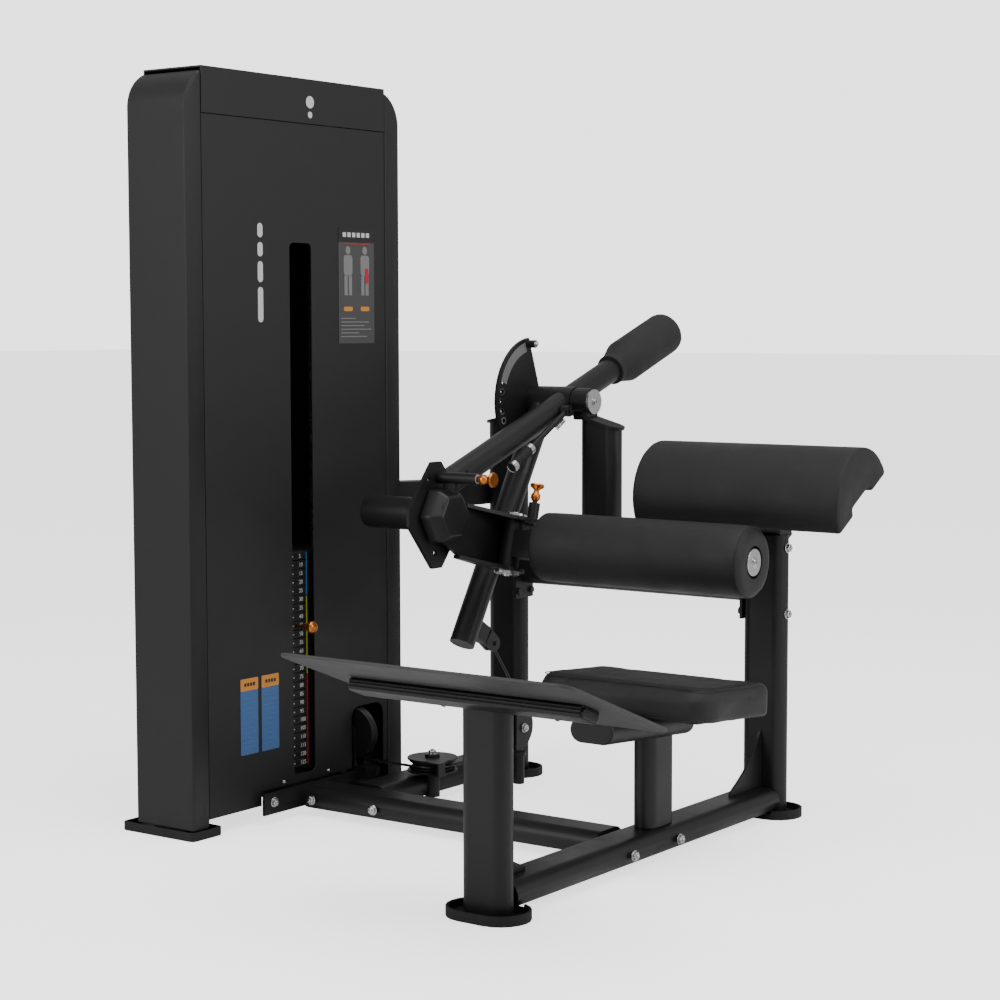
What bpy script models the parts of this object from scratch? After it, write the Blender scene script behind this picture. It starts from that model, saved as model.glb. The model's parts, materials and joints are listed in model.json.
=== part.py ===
"""Hip thrust machine with a weight stack tower, a seat, a back pad, a foot plate and a padded lifting arm.

Metres, +Z up. The origin is on the floor under the middle of the machine. The user sits facing -X,
and the tower stands at +Y, to the user's right.
"""
import math

import bmesh
import bpy
from mathutils import Matrix, Vector

GAP = 0.0003
DEG = math.pi / 180

# Tubes: flat-oval section and round section.
OVAL_WIDE = 0.100
OVAL_NARROW = 0.050
ROUND_TUBE_RADIUS = 0.0285
RAIL_Z = 0.038

# Posts.
FRONT_POST = (-0.651, -0.358)
BACK_POST = (0.375, -0.3555)
PIVOT_POST = (0.410, 0.354)
PIVOT_STUB = (0.410, 0.093)
POST_BOTTOM = 0.0055
BACK_POST_TOP = 0.612
FRONT_POST_TOP = 0.420

# Tray feet under the posts.
TRAY_HEIGHT = 0.019
TRAY_FLOOR = 0.0052
TRAY_RIM = 0.005
TRAY_LENGTH = 0.167
TRAY_WIDTH = 0.113

# Weight tower.
TOWER_LEFT = -0.542
TOWER_RIGHT = 0.151
TOWER_FRONT = 0.4747
TOWER_BACK = 0.6367
TOWER_TOP = 1.589
TOWER_COVER_BOTTOM = 0.0202
COVER_WALL = 0.003
COVER_FLANGE = 0.050
COVER_TOP_RADIUS = 0.078
HEADER_BOTTOM = 1.494
PANEL_BOTTOM = 0.037
PANEL_STEP = 0.068
PANEL_STEP_X = -0.330
SLOT_X = (-0.224, -0.153)
SLOT_Z = (0.086, 1.2385)
CUTOUT_X = (-0.028, 0.084)
CUTOUT_TOP = 0.206

# Weight stack.
STACK_X = -0.1885
STACK_Y = 0.5475
STACK_WIDTH = 0.320
STACK_DEPTH = 0.100
STACK_BOTTOM = 0.0955
PLATE_PITCH = 0.019
PLATE_GROOVE = 0.0016
PLATE_GROOVE_DEPTH = 0.004
PLATES_RESTING = 16
PLATES_LIFTED = 8
GUIDE_ROD_OFFSET = 0.120
GUIDE_ROD_RADIUS = 0.0095
GUIDE_ROD_TOP = 1.335
SELECTOR_ROD_RADIUS = 0.0125

# Cable and pulleys.
CABLE_RADIUS = 0.003
CABLE_Z = 0.087
CABLE_GAP = 0.0003
SMALL_PULLEY_RADIUS = 0.052
SMALL_GROOVE_RADIUS = 0.045
TOP_PULLEY_RADIUS = 0.042
TOP_GROOVE_RADIUS = 0.036
LOW_PULLEY_RADIUS = 0.060
LOW_GROOVE_RADIUS = 0.055
SMALL_WRAP = SMALL_GROOVE_RADIUS + CABLE_RADIUS + CABLE_GAP
TOP_WRAP = TOP_GROOVE_RADIUS + CABLE_RADIUS + CABLE_GAP
LOW_WRAP = LOW_GROOVE_RADIUS + CABLE_RADIUS + CABLE_GAP
PULLEY_WIDTH = 0.020
LOW_PULLEY_X = -0.002
POST_PULLEY_X = 0.305
TOP_PULLEY_Z = 1.395
FLOOR_PULLEY = (0.0463, 0.3053)
AXLE_RADIUS = 0.008
RUNNING_FIT = 0.0003

# Main pivot of the lifting arms.
PIVOT_X = 0.415
PIVOT_Z = 0.886
PIVOT_AXLE_RADIUS = 0.015
HUB_RADIUS = 0.034
ARM_Y = 0.1965
LEVER_Y = 0.257
ARM_SLOPE = 19.65 * DEG
ARM_REACH = 0.560
LEVER_ANGLE = 58.8 * DEG
LEVER_LENGTH = 0.622
CLEVIS_ALONG = 0.574
CLEVIS_OUT = 0.101
SECTOR_RADIUS = 0.147
SECTOR_Y = (0.2865, 0.2935)
LOCK_RADIUS = 0.128
LOCK_STEP = 10 * DEG

# Carriage at the low end of the main arm.
END_TUBE_X = -0.117
END_TUBE_Z = 0.662
END_TUBE_RADIUS = 0.035
LOCK_PLATE_Y = (0.164, 0.172)
PULL_PIN_ARM = 0.080
PULL_PIN_ANGLE = 85 * DEG
PULL_PIN_RADIUS = 0.0055

# Swing pin and roller.
SWING_PIN = Vector((0.081, 0.114, 0.587))
SWING_TILT = 15 * DEG
BRACKET_HALF = 0.056
BRACKET_PLATE = 0.008
ROLLER_RADIUS = 0.075
ROLLER_BORE = 0.0255
ROLLER_START = 0.086
ROLLER_LENGTH = 0.510
ROLLER_YAW = 1.74 * DEG

# Seat, foot plate and back pad.
SEAT_POST = (-0.089, -0.357)
SEAT_TILT = 4.3 * DEG
SEAT_TUBE_X = (-0.315, -0.010)
SEAT_TUBE_Z = 0.2756
SEAT_SIZE = (0.262, 0.412, 0.058)
SEAT_CENTRE_X = -0.107
FOOT_PLATE_CENTRE = Vector((-0.7016, -0.358, 0.4165))
FOOT_PLATE_LENGTH = 0.638
FOOT_PLATE_WIDTH = 0.346
FOOT_PLATE_TILT = 21.1 * DEG
FOOT_PLATE_THICKNESS = 0.006
BACK_PAD_CENTRE = Vector((0.340, -0.3555, 0.687))
BACK_PAD_RADIUS = 0.120
BACK_PAD_LENGTH = 0.500
BACK_PAD_TILT = 29.3 * DEG

BLACK = ("powder_coat", (0.022, 0.022, 0.023), 0.45, 0.0)
PANEL_BLACK = ("panel_black", (0.026, 0.026, 0.027), 0.5, 0.0)
RUBBER = ("rubber", (0.02, 0.02, 0.02), 0.8, 0.0)
LEATHER = ("leatherette", (0.02, 0.02, 0.021), 0.55, 0.0)
STEEL = ("bright_steel", (0.62, 0.62, 0.62), 0.25, 1.0)
IRON = ("stack_iron", (0.03, 0.03, 0.031), 0.5, 0.3)
ORANGE = ("anodised_orange", (0.75, 0.25, 0.04), 0.3, 0.9)
GREY = ("light_grey", (0.45, 0.45, 0.45), 0.4, 0.0)
CABLE_BLACK = ("cable_black", (0.015, 0.015, 0.015), 0.5, 0.0)


def clear_scene():
    for item in list(bpy.data.objects):
        bpy.data.objects.remove(item)


def new_collection(name):
    group = bpy.data.collections.new(name)
    bpy.context.scene.collection.children.link(group)
    return group


clear_scene()
PARTS = new_collection("hip_thrust_machine")
CUTTERS = new_collection("cutters")


def material(look):
    name, colour, roughness, metallic = look
    if name in bpy.data.materials:
        return bpy.data.materials[name]
    made = bpy.data.materials.new(name)
    made.use_nodes = True
    shader = made.node_tree.nodes["Principled BSDF"]
    shader.inputs["Base Color"].default_value = (*colour, 1.0)
    shader.inputs["Roughness"].default_value = roughness
    shader.inputs["Metallic"].default_value = metallic
    return made


def place(mesh, name, matrix):
    item = bpy.data.objects.new(name, mesh)
    item.matrix_world = matrix
    CUTTERS.objects.link(item)
    item.hide_render = True
    item.display_type = "WIRE"
    return item


def part(item, look):
    """Turn a working solid into a finished part of the machine."""
    CUTTERS.objects.unlink(item)
    PARTS.objects.link(item)
    item.hide_render = False
    item.display_type = "TEXTURED"
    item.data.materials.clear()
    item.data.materials.append(material(look))
    item.data.shade_smooth()
    item.data.set_sharp_from_angle(angle=35 * DEG)
    return item


def mesh_from(work, name):
    mesh = bpy.data.meshes.new(name)
    bmesh.ops.recalc_face_normals(work, faces=work.faces)
    work.to_mesh(mesh)
    work.free()
    return mesh


def frame_from(centre, x_axis, y_axis):
    """A placement whose local X and Y run along the given world directions."""
    across = Vector(x_axis).normalized()
    up = Vector(y_axis)
    up = (up - across * up.dot(across)).normalized()
    out = across.cross(up)
    matrix = Matrix((across, up, out)).transposed().to_4x4()
    matrix.translation = Vector(centre)
    return matrix


def box(name, low, high):
    low = Vector(low)
    high = Vector(high)
    size = high - low
    work = bmesh.new()
    bmesh.ops.create_cube(work, size=1.0, matrix=Matrix.Diagonal((*size, 1.0)))
    return place(mesh_from(work, name), name, Matrix.Translation((low + high) / 2))


def tilted_box(name, size, matrix):
    work = bmesh.new()
    bmesh.ops.create_cube(work, size=1.0, matrix=Matrix.Diagonal((*size, 1.0)))
    return place(mesh_from(work, name), name, matrix)


def rod(name, start, end, radius, sides=28):
    start = Vector(start)
    end = Vector(end)
    along = end - start
    work = bmesh.new()
    bmesh.ops.create_cone(
        work, cap_ends=True, segments=sides, radius1=radius, radius2=radius, depth=along.length)
    turn = along.to_track_quat("Z", "Y").to_matrix().to_4x4()
    turn.translation = (start + end) / 2
    return place(mesh_from(work, name), name, turn)


def slab(name, loops, thickness, matrix):
    """A flat plate or a straight bar: closed outlines filled and extruded to both sides."""
    curve = bpy.data.curves.new(name, "CURVE")
    curve.dimensions = "2D"
    curve.fill_mode = "BOTH"
    curve.extrude = thickness / 2
    for loop in loops:
        spline = curve.splines.new("POLY")
        spline.points.add(len(loop) - 1)
        for point, (x, y) in zip(spline.points, loop):
            point.co = (x, y, 0.0, 1.0)
        spline.use_cyclic_u = True
    item = bpy.data.objects.new(name, curve)
    item.matrix_world = matrix
    CUTTERS.objects.link(item)
    bpy.context.view_layer.update()
    shape = item.evaluated_get(bpy.context.evaluated_depsgraph_get())
    mesh = bpy.data.meshes.new_from_object(shape)
    work = bmesh.new()
    work.from_mesh(mesh)
    bmesh.ops.remove_doubles(work, verts=work.verts, dist=0.00001)
    bmesh.ops.dissolve_limit(work, angle_limit=0.001, verts=work.verts, edges=work.edges)
    bmesh.ops.recalc_face_normals(work, faces=work.faces)
    work.to_mesh(mesh)
    work.free()
    bpy.data.objects.remove(item)
    return place(mesh, name, matrix)


def turned(name, profile, start, end, steps=28):
    """A turned piece: (radius, distance) pairs from end back to start, swept about the start-end line."""
    start = Vector(start)
    along = Vector(end) - start
    mesh = bpy.data.meshes.new(name)
    points = [(radius, 0.0, distance) for radius, distance in profile]
    edges = [(index, index + 1) for index in range(len(points) - 1)]
    mesh.from_pydata(points, edges, [])
    turn = along.to_track_quat("Z", "Y").to_matrix().to_4x4()
    turn.translation = start
    item = place(mesh, name, turn)
    screw = item.modifiers.new("turn", "SCREW")
    screw.steps = steps
    screw.render_steps = steps
    screw.use_merge_vertices = True
    screw.merge_threshold = 0.00005
    screw.use_normal_calculate = True
    return item


def combine(target, tool, operation):
    step = target.modifiers.new(operation.lower(), "BOOLEAN")
    step.object = tool
    step.operation = operation
    step.solver = "EXACT"
    return target


def join(target, *tools):
    for tool in tools:
        combine(target, tool, "UNION")
    return target


def cut(target, *tools):
    for tool in tools:
        combine(target, tool, "DIFFERENCE")
    return target


def soften(item, width, segments=2):
    bevel = item.modifiers.new("soft_edges", "BEVEL")
    bevel.width = width
    bevel.segments = segments
    bevel.limit_method = "ANGLE"
    bevel.angle_limit = 40 * DEG
    return item


def arc(centre, radius, start, end, steps):
    return [
        (centre[0] + radius * math.cos(start + (end - start) * step / steps),
         centre[1] + radius * math.sin(start + (end - start) * step / steps))
        for step in range(steps + 1)
    ]


def circle(centre, radius, steps=20):
    return arc(centre, radius, 0.0, 2 * math.pi, steps)[:-1]


def stadium(length, width, steps=10):
    """A flat oval, long along its first axis."""
    reach = (length - width) / 2
    right = arc((reach, 0.0), width / 2, -math.pi / 2, math.pi / 2, steps)
    left = arc((-reach, 0.0), width / 2, math.pi / 2, 3 * math.pi / 2, steps)
    return right + left


def rounded(width, height, radius, steps=4):
    """A rectangle with round corners about the local origin."""
    points = []
    quarter = math.pi / 2
    for index, (sx, sy) in enumerate(((1, 1), (-1, 1), (-1, -1), (1, -1))):
        corner = (sx * (width / 2 - radius), sy * (height / 2 - radius))
        points += arc(corner, radius, index * quarter, (index + 1) * quarter, steps)
    return points


def oval_post(name, place_xy, low, high, wide_along=(0, 1, 0)):
    middle = (place_xy[0], place_xy[1], (low + high) / 2)
    wide = Vector(wide_along)
    return slab(name, [stadium(OVAL_WIDE, OVAL_NARROW)], high - low,
                frame_from(middle, wide, Vector((0, 0, 1)).cross(wide)))


def oval_bar(name, start, end, wide_along):
    start = Vector(start)
    end = Vector(end)
    along = (end - start).normalized()
    wide = Vector(wide_along)
    return slab(name, [stadium(OVAL_WIDE, OVAL_NARROW)], (end - start).length,
                frame_from((start + end) / 2, wide, along.cross(wide)))


def hex_bolt(name, seat, direction, radius=0.0085, height=0.0055, shank=0.0):
    """A hexagon head that stands on a face, with a short shank sunk into it."""
    out = Vector(direction).normalized()
    base = Vector(seat) - out * shank
    return rod(name, base, Vector(seat) + out * height, radius, sides=6)


def hinge_empty(name, place_at):
    empty = bpy.data.objects.new(name, None)
    empty.location = place_at
    PARTS.objects.link(empty)
    bpy.context.view_layer.update()
    return empty


def hang(empty, *items):
    bpy.context.view_layer.update()
    for item in items:
        item.parent = empty
        item.matrix_parent_inverse = empty.matrix_world.inverted()


# ---------------------------------------------------------------- frame

def tray_foot(name, centre, rail_side):
    """A rubber tray with a low gap in its rim where the rail leaves the post."""
    outline = stadium(TRAY_LENGTH, TRAY_WIDTH)
    inner = stadium(TRAY_LENGTH - 2 * TRAY_RIM, TRAY_WIDTH - 2 * TRAY_RIM)
    side = (0, 1, 0)
    up = (-1, 0, 0)
    middle = Vector((centre[0], centre[1], TRAY_HEIGHT / 2))
    tray = slab(name, [outline], TRAY_HEIGHT, frame_from(middle, side, up))
    hollow = Vector((centre[0], centre[1], TRAY_FLOOR + TRAY_HEIGHT / 2))
    cut(tray, slab(name + "_hollow", [inner], TRAY_HEIGHT, frame_from(hollow, side, up)))
    edges = sorted((centre[0] + rail_side * 0.02, centre[0] + rail_side * 0.08))
    rail_bottom = RAIL_Z - OVAL_NARROW / 2 - GAP
    cut(tray, box(name + "_gap", (edges[0], centre[1] - 0.0435, rail_bottom),
                  (edges[1], centre[1] + 0.0435, 0.03)))
    return part(tray, RUBBER)


def square_tray(name, low_x, high_x):
    low_y = 0.470
    high_y = 0.6767
    middle = Vector(((low_x + high_x) / 2, (low_y + high_y) / 2, TRAY_HEIGHT / 2))
    width = high_x - low_x
    depth = high_y - low_y
    tray = slab(name, [rounded(width, depth, 0.012)], TRAY_HEIGHT, Matrix.Translation(middle))
    lift = Vector((0, 0, TRAY_FLOOR))
    inner = rounded(width - 2 * TRAY_RIM, depth - 2 * TRAY_RIM, 0.008)
    cut(tray, slab(name + "_hollow", [inner], TRAY_HEIGHT, Matrix.Translation(middle + lift)))
    return part(tray, RUBBER)


def rails():
    half = OVAL_NARROW / 2
    front_end = FRONT_POST[0] + half + GAP
    back_end = BACK_POST[0] - half - GAP
    flat = (0, 1, 0)
    long_rail = oval_bar("base_rail_long", (front_end, -0.356, RAIL_Z), (back_end, -0.356, RAIL_Z), flat)
    for index, x in enumerate((-0.245, -0.075)):
        join(long_rail, hex_bolt(f"rail_bolt_{index}", (x, -0.406, RAIL_Z), (0, -1, 0), shank=0.01))
    part(long_rail, BLACK)

    cross_start = (-0.172, -0.306 + GAP, RAIL_Z)
    cross_rail = oval_bar("base_rail_cross", cross_start, (-0.172, 0.4555, RAIL_Z), (1, 0, 0))
    for index, y in enumerate((0.425, 0.254)):
        join(cross_rail, hex_bolt(f"cross_bolt_{index}", (-0.222, y, RAIL_Z), (-1, 0, 0), shank=0.01))
    join(cross_rail, box("cross_end_plate", (-0.345, 0.4550, 0.020), (-0.100, 0.4610, 0.066)))
    join(cross_rail, hex_bolt("end_plate_bolt", (-0.316, 0.4550, 0.046), (0, -1, 0), 0.0085, 0.0055, 0.002))
    part(cross_rail, BLACK)

    rear_y = PIVOT_POST[1]
    rear_start = (-0.122 + GAP, rear_y, RAIL_Z)
    rear_end = (PIVOT_POST[0] - half - GAP, rear_y, RAIL_Z)
    rear_rail = oval_bar("base_rail_rear", rear_start, rear_end, flat)
    post_hole = rod("floor_pulley_hole", (*FLOOR_PULLEY, 0.0), (*FLOOR_PULLEY, 0.1), 0.0168)
    part(cut(rear_rail, post_hole), BLACK)


def gusset(name, corner, reach_x, reach_z):
    """A thin web with a slightly hollow edge and a blunt toe, in the corner between a post and a rail."""
    toe = 0.008
    hollow = 0.16
    steps = 8
    edge = []
    for step in range(steps + 1):
        climb = step / steps
        sag = hollow * 4 * climb * (1 - climb)
        edge.append((reach_x * (1 - climb) * (1 - sag), toe + (reach_z - toe) * climb * (1 - sag)))
    return slab(name, [[(0.0, 0.0), (reach_x, 0.0)] + edge], 0.006, frame_from(corner, (1, 0, 0), (0, 0, 1)))


def posts():
    half = OVAL_NARROW / 2
    rail_top = RAIL_Z + half + GAP
    front = oval_post("front_post", FRONT_POST, POST_BOTTOM, FRONT_POST_TOP)
    front_corner = (FRONT_POST[0] + half - 0.001, FRONT_POST[1], rail_top)
    part(join(front, gusset("front_gusset", front_corner, 0.088, 0.064)), BLACK)

    back = oval_post("back_post", BACK_POST, POST_BOTTOM, BACK_POST_TOP)
    back_corner = (BACK_POST[0] - half + 0.001, BACK_POST[1], rail_top)
    join(back, gusset("back_gusset", back_corner, -0.131, 0.128))
    bracket = pad_frame(BACK_PAD_CENTRE - pad_normal() * 0.0445)
    join(back, tilted_box("pad_bracket", (0.044, 0.088, 0.110), bracket))
    board = pad_frame(BACK_PAD_CENTRE + pad_normal() * 0.0115)
    join(back, tilted_box("pad_board", (0.090, 0.420, 0.010), board))
    part(back, BLACK)


def pad_normal():
    return Vector((-math.sin(BACK_PAD_TILT), 0.0, math.cos(BACK_PAD_TILT)))


def pad_frame(centre):
    """Local X climbs the flat side of the back pad, local Y runs along the pad."""
    climb = (math.cos(BACK_PAD_TILT), 0.0, math.sin(BACK_PAD_TILT))
    return frame_from(centre, climb, (0, 1, 0))


def slanted_post(name, centre, low, high_inner, high_outer, inner_side):
    """A post cut at a slant, lower on its outer end, under a thin cap plate that overhangs both ends."""
    x, y = centre
    reach = OVAL_WIDE / 2 + 0.008
    inner = Vector((x, y + inner_side * reach, high_inner))
    outer = Vector((x, y - inner_side * reach, high_outer))
    slope = (outer - inner).normalized()
    middle = (inner + outer) / 2
    post = oval_post(name, centre, low, high_inner + 0.02)
    up = Vector((1, 0, 0)).cross(slope)
    if up.z < 0:
        up = -up
    blade = frame_from(middle + up * 0.1, (1, 0, 0), slope)
    cut(post, tilted_box(name + "_trim", (0.2, 0.3, 0.2), blade))
    cap = frame_from(middle + up * 0.001, slope, (1, 0, 0))
    join(post, slab(name + "_cap", [stadium(2 * reach, 0.060)], 0.006, cap))
    return post


def bearing(name, near_y, far_y):
    return rod(name, (PIVOT_X, near_y, PIVOT_Z), (PIVOT_X, far_y, PIVOT_Z), 0.0315)


def pivot_posts():
    bore = rod("bearing_bore", (PIVOT_X, 0.05, PIVOT_Z), (PIVOT_X, 0.40, PIVOT_Z),
               PIVOT_AXLE_RADIUS + RUNNING_FIT)
    stub = slanted_post("pivot_stub_post", PIVOT_STUB, 0.5605 + 0.0063, 0.856, 0.824, 1)
    join(stub, box("stub_foot", (0.372, 0.030, 0.5603), (0.448, 0.156, 0.5680)))
    join(stub, box("stub_saddle", (0.393, 0.1226, 0.845), (0.437, 0.160, 0.875)))
    join(stub, bearing("stub_bearing", 0.1225, 0.1645))
    part(cut(stub, bore), BLACK)

    post = slanted_post("pivot_post", PIVOT_POST, POST_BOTTOM, 0.856, 0.832, -1)
    join(post, box("post_saddle", (0.393, 0.306, 0.838), (0.437, 0.338, 0.875)))
    join(post, bearing("post_bearing", 0.2992, 0.3400))
    part(cut(post, bore), BLACK)


def bridge_beam():
    """The beam between the two tall posts, with a bolted flange plate at each end."""
    near = BACK_POST[1] + OVAL_WIDE / 2 + GAP
    far = PIVOT_POST[1] - OVAL_WIDE / 2 - GAP
    x = 0.393
    beam = slab("bridge_beam", [stadium(OVAL_WIDE, OVAL_NARROW)], far - near,
                frame_from((x, (near + far) / 2, 0.510), (0, 0, 1), (1, 0, 0)))
    for index, (low, high, side) in enumerate(((near, near + 0.007, 1), (far - 0.007, far, -1))):
        join(beam, box(f"flange_{index}", (x - 0.036, low, 0.425), (x + 0.034, high, 0.595)))
        for row, z in enumerate((0.4415, 0.5800)):
            for column, shift in enumerate((-0.026, 0.024)):
                seat = (x + shift, low if side < 0 else high, z)
                join(beam, hex_bolt(f"flange_bolt_{index}_{row}_{column}", seat, (0, side, 0), shank=0.002))
    part(beam, BLACK)


def link_beam():
    """The short beam that ties the weight tower to the pivot post."""
    start = Vector((TOWER_RIGHT + GAP, 0.560, 0.670))
    end = Vector((0.410, 0.4050, 0.670))
    along = (end - start).normalized()
    beam = tilted_box("tower_link_beam", ((end - start).length + 0.16, 0.050, 0.060),
                      frame_from((start + end) / 2, along, (0, 1, 0)))
    cut(beam, box("link_trim_tower", (-0.2, 0.3, 0.5), (TOWER_RIGHT + GAP, 0.9, 0.8)))
    cut(beam, box("link_trim_post", (0.2, 0.2, 0.5), (0.7, PIVOT_POST[1] + 0.0503, 0.8)))
    cut(beam, box("link_trim_side", (0.445, 0.2, 0.5), (0.7, 0.9, 0.8)))
    part(beam, BLACK)


# ---------------------------------------------------------------- tower

def cover(name, outer_x, side):
    """A C-section side cover: side wall, front and back flanges and a top that curves over."""
    inner_x = outer_x + side * COVER_FLANGE
    radius = COVER_TOP_RADIUS

    def outline(inset, inner_edge):
        wall_x = outer_x + side * inset
        curve_radius = radius - inset
        top = TOWER_TOP - 0.004
        centre = (outer_x + side * radius, top - radius)
        span = math.acos((radius - abs(inner_edge - outer_x)) / curve_radius) if abs(
            inner_edge - outer_x) < radius else math.pi / 2
        bend = [(centre[0] - side * curve_radius * math.cos(turn),
                 centre[1] + curve_radius * math.sin(turn))
                for turn in [span * step / 8 for step in range(9)]]
        low = TOWER_COVER_BOTTOM - (0.05 if inset else 0.0)
        return [(inner_edge, low), (wall_x, low)] + bend

    middle_y = (TOWER_FRONT + TOWER_BACK) / 2
    plane = frame_from((0, middle_y, 0), (1, 0, 0), (0, 0, 1))
    depth = TOWER_BACK - TOWER_FRONT
    shell = slab(name, [outline(0.0, inner_x)], depth, plane)
    edge = slab(name + "_round", [rounded(TOWER_RIGHT - TOWER_LEFT, depth, 0.010)], 2.0,
                Matrix.Translation(((TOWER_LEFT + TOWER_RIGHT) / 2, middle_y, 1.0)))
    combine(shell, edge, "INTERSECT")
    inside = slab(name + "_inside", [outline(COVER_WALL, inner_x + side * 0.02)],
                  depth - 2 * COVER_WALL, plane)
    return part(cut(shell, inside), PANEL_BLACK)


def front_panel():
    low_x = TOWER_LEFT + COVER_FLANGE + 0.0012
    high_x = TOWER_RIGHT - COVER_FLANGE - 0.0012
    top = HEADER_BOTTOM - 0.0012
    outline = [(low_x, PANEL_BOTTOM), (PANEL_STEP_X, PANEL_BOTTOM), (PANEL_STEP_X, PANEL_STEP),
               (high_x, PANEL_STEP), (high_x, top), (low_x, top)]
    slot_middle = ((SLOT_X[0] + SLOT_X[1]) / 2, (SLOT_Z[0] + SLOT_Z[1]) / 2)
    slot_size = (SLOT_X[1] - SLOT_X[0], SLOT_Z[1] - SLOT_Z[0])
    slot = [(x + slot_middle[0], z + slot_middle[1]) for x, z in rounded(*slot_size, 0.012)]
    cutout_low = PANEL_STEP - 0.04
    cutout_size = (CUTOUT_X[1] - CUTOUT_X[0], CUTOUT_TOP - cutout_low)
    cutout_middle = ((CUTOUT_X[0] + CUTOUT_X[1]) / 2, (CUTOUT_TOP + cutout_low) / 2)
    cutout = [(x + cutout_middle[0], z + cutout_middle[1]) for x, z in rounded(*cutout_size, 0.026)]
    panel_y = TOWER_FRONT + 0.0030
    panel = slab("tower_front_panel", [outline, slot], 0.003,
                 frame_from((0, panel_y, 0), (1, 0, 0), (0, 0, 1)))
    cut(panel, slab("pulley_cutout", [cutout], 0.05, frame_from((0, panel_y, 0), (1, 0, 0), (0, 0, 1))))
    part(panel, PANEL_BLACK)


def back_panel():
    low_x = TOWER_LEFT + COVER_FLANGE + 0.0012
    high_x = TOWER_RIGHT - COVER_FLANGE - 0.0012
    part(box("tower_back_panel", (low_x, TOWER_BACK - 0.004, PANEL_BOTTOM),
             (high_x, TOWER_BACK - 0.001, HEADER_BOTTOM - 0.0012)), PANEL_BLACK)


def header():
    """The header between the covers: front, back and a thin top plate that stands proud of the covers."""
    low_x = TOWER_LEFT + COVER_FLANGE + 0.0008
    high_x = TOWER_RIGHT - COVER_FLANGE - 0.0008
    front = TOWER_FRONT + 0.0002
    back = TOWER_BACK - 0.0002
    shell = box("tower_header", (low_x, front, HEADER_BOTTOM), (high_x, back, TOWER_TOP))
    wall = COVER_WALL
    cut(shell, box("header_inside", (low_x - 0.01, front + wall, HEADER_BOTTOM - 0.01),
                   (high_x + 0.01, back - wall, TOWER_TOP - 0.004)))
    part(shell, PANEL_BLACK)


def tower_frame():
    """Two uprights, a bottom beam and a top beam that carries the upper pulleys."""
    low_y = 0.505
    high_y = 0.590
    left = TOWER_LEFT + 0.006
    right = TOWER_RIGHT - 0.006
    frame = box("tower_frame", (left, low_y, POST_BOTTOM), (left + 0.038, high_y, 1.480))
    join(frame, box("upright_right", (right - 0.038, low_y, POST_BOTTOM), (right, high_y, 1.480)))
    join(frame, box("bottom_beam", (left + 0.03, low_y + 0.003, 0.046),
                    (right - 0.03, high_y - 0.003, STACK_BOTTOM - GAP)))
    join(frame, box("top_beam", (left + 0.03, 0.567, 1.445), (right - 0.03, high_y - 0.003, 1.478)))
    rod_bar = GUIDE_ROD_TOP - 0.030
    join(frame, box("rod_beam", (left + 0.03, 0.567, rod_bar), (right - 0.03, high_y - 0.003, rod_bar + 0.030)))
    cut(frame, box("low_pulley_notch", (LOW_PULLEY_X - 0.026, 0.40, 0.02), (LOW_PULLEY_X + 0.026, 0.561, 0.12)))
    for index, x in enumerate(top_pulley_places()):
        join(frame, box(f"pulley_hanger_{index}", (x - 0.018, 0.572, TOP_PULLEY_Z - 0.02),
                        (x + 0.018, 0.582, 1.455)))
        join(frame, rod(f"top_axle_{index}", (x, 0.530, TOP_PULLEY_Z), (x, 0.575, TOP_PULLEY_Z), AXLE_RADIUS))
    part(frame, BLACK)


def top_pulley_places():
    return (LOW_PULLEY_X - TOP_WRAP, STACK_X + TOP_WRAP)


def guide_rods():
    """Two plated rods held together at the top by a flat bar, which lets the cable through."""
    half = GUIDE_ROD_OFFSET + 0.022
    bar_bottom = GUIDE_ROD_TOP - 0.016
    rods = box("guide_rods", (STACK_X - half, 0.530, bar_bottom), (STACK_X + half, 0.5665, bar_bottom + 0.008))
    for index, side in enumerate((-1, 1)):
        x = STACK_X + side * GUIDE_ROD_OFFSET
        foot = (x, STACK_Y, STACK_BOTTOM)
        join(rods, rod(f"guide_rod_{index}", foot, (x, STACK_Y, GUIDE_ROD_TOP), GUIDE_ROD_RADIUS))
    cut(rods, rod("bar_cable_hole", (STACK_X, STACK_Y, 1.2), (STACK_X, STACK_Y, 1.5), 0.009, 16))
    part(rods, STEEL)


def stack_block(name, low, count):
    """A run of equal weight plates as one solid, with a thin groove between one plate and the next."""
    wide = (STACK_WIDTH / 2, STACK_DEPTH / 2)
    narrow = (wide[0] - PLATE_GROOVE_DEPTH, wide[1] - PLATE_GROOVE_DEPTH)
    rings = []
    for plate in range(count):
        base = plate * PLATE_PITCH
        rings += [(wide, base), (wide, base + PLATE_PITCH - PLATE_GROOVE)]
        if plate < count - 1:
            rings += [(narrow, base + PLATE_PITCH - PLATE_GROOVE), (narrow, base + PLATE_PITCH)]
    work = bmesh.new()
    loops = [[work.verts.new((sx * half[0], sy * half[1], z))
              for sx, sy in ((1, 1), (-1, 1), (-1, -1), (1, -1))] for half, z in rings]
    for lower, upper in zip(loops, loops[1:]):
        for index in range(4):
            after = (index + 1) % 4
            work.faces.new((lower[index], lower[after], upper[after], upper[index]))
    work.faces.new(loops[0])
    work.faces.new(loops[-1])
    block = place(mesh_from(work, name), name, Matrix.Translation((STACK_X, STACK_Y, low)))
    drill_stack(block, low)
    return block


def drill_stack(block, low):
    for index, (shift, radius) in enumerate((
            (-GUIDE_ROD_OFFSET, GUIDE_ROD_RADIUS + 0.001), (GUIDE_ROD_OFFSET, GUIDE_ROD_RADIUS + 0.001),
            (0.0, SELECTOR_ROD_RADIUS + 0.001))):
        x = STACK_X + shift
        cut(block, rod(f"{block.name}_bore_{index}", (x, STACK_Y, low - 0.1), (x, STACK_Y, low + 0.6),
                       radius, sides=20))


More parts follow.
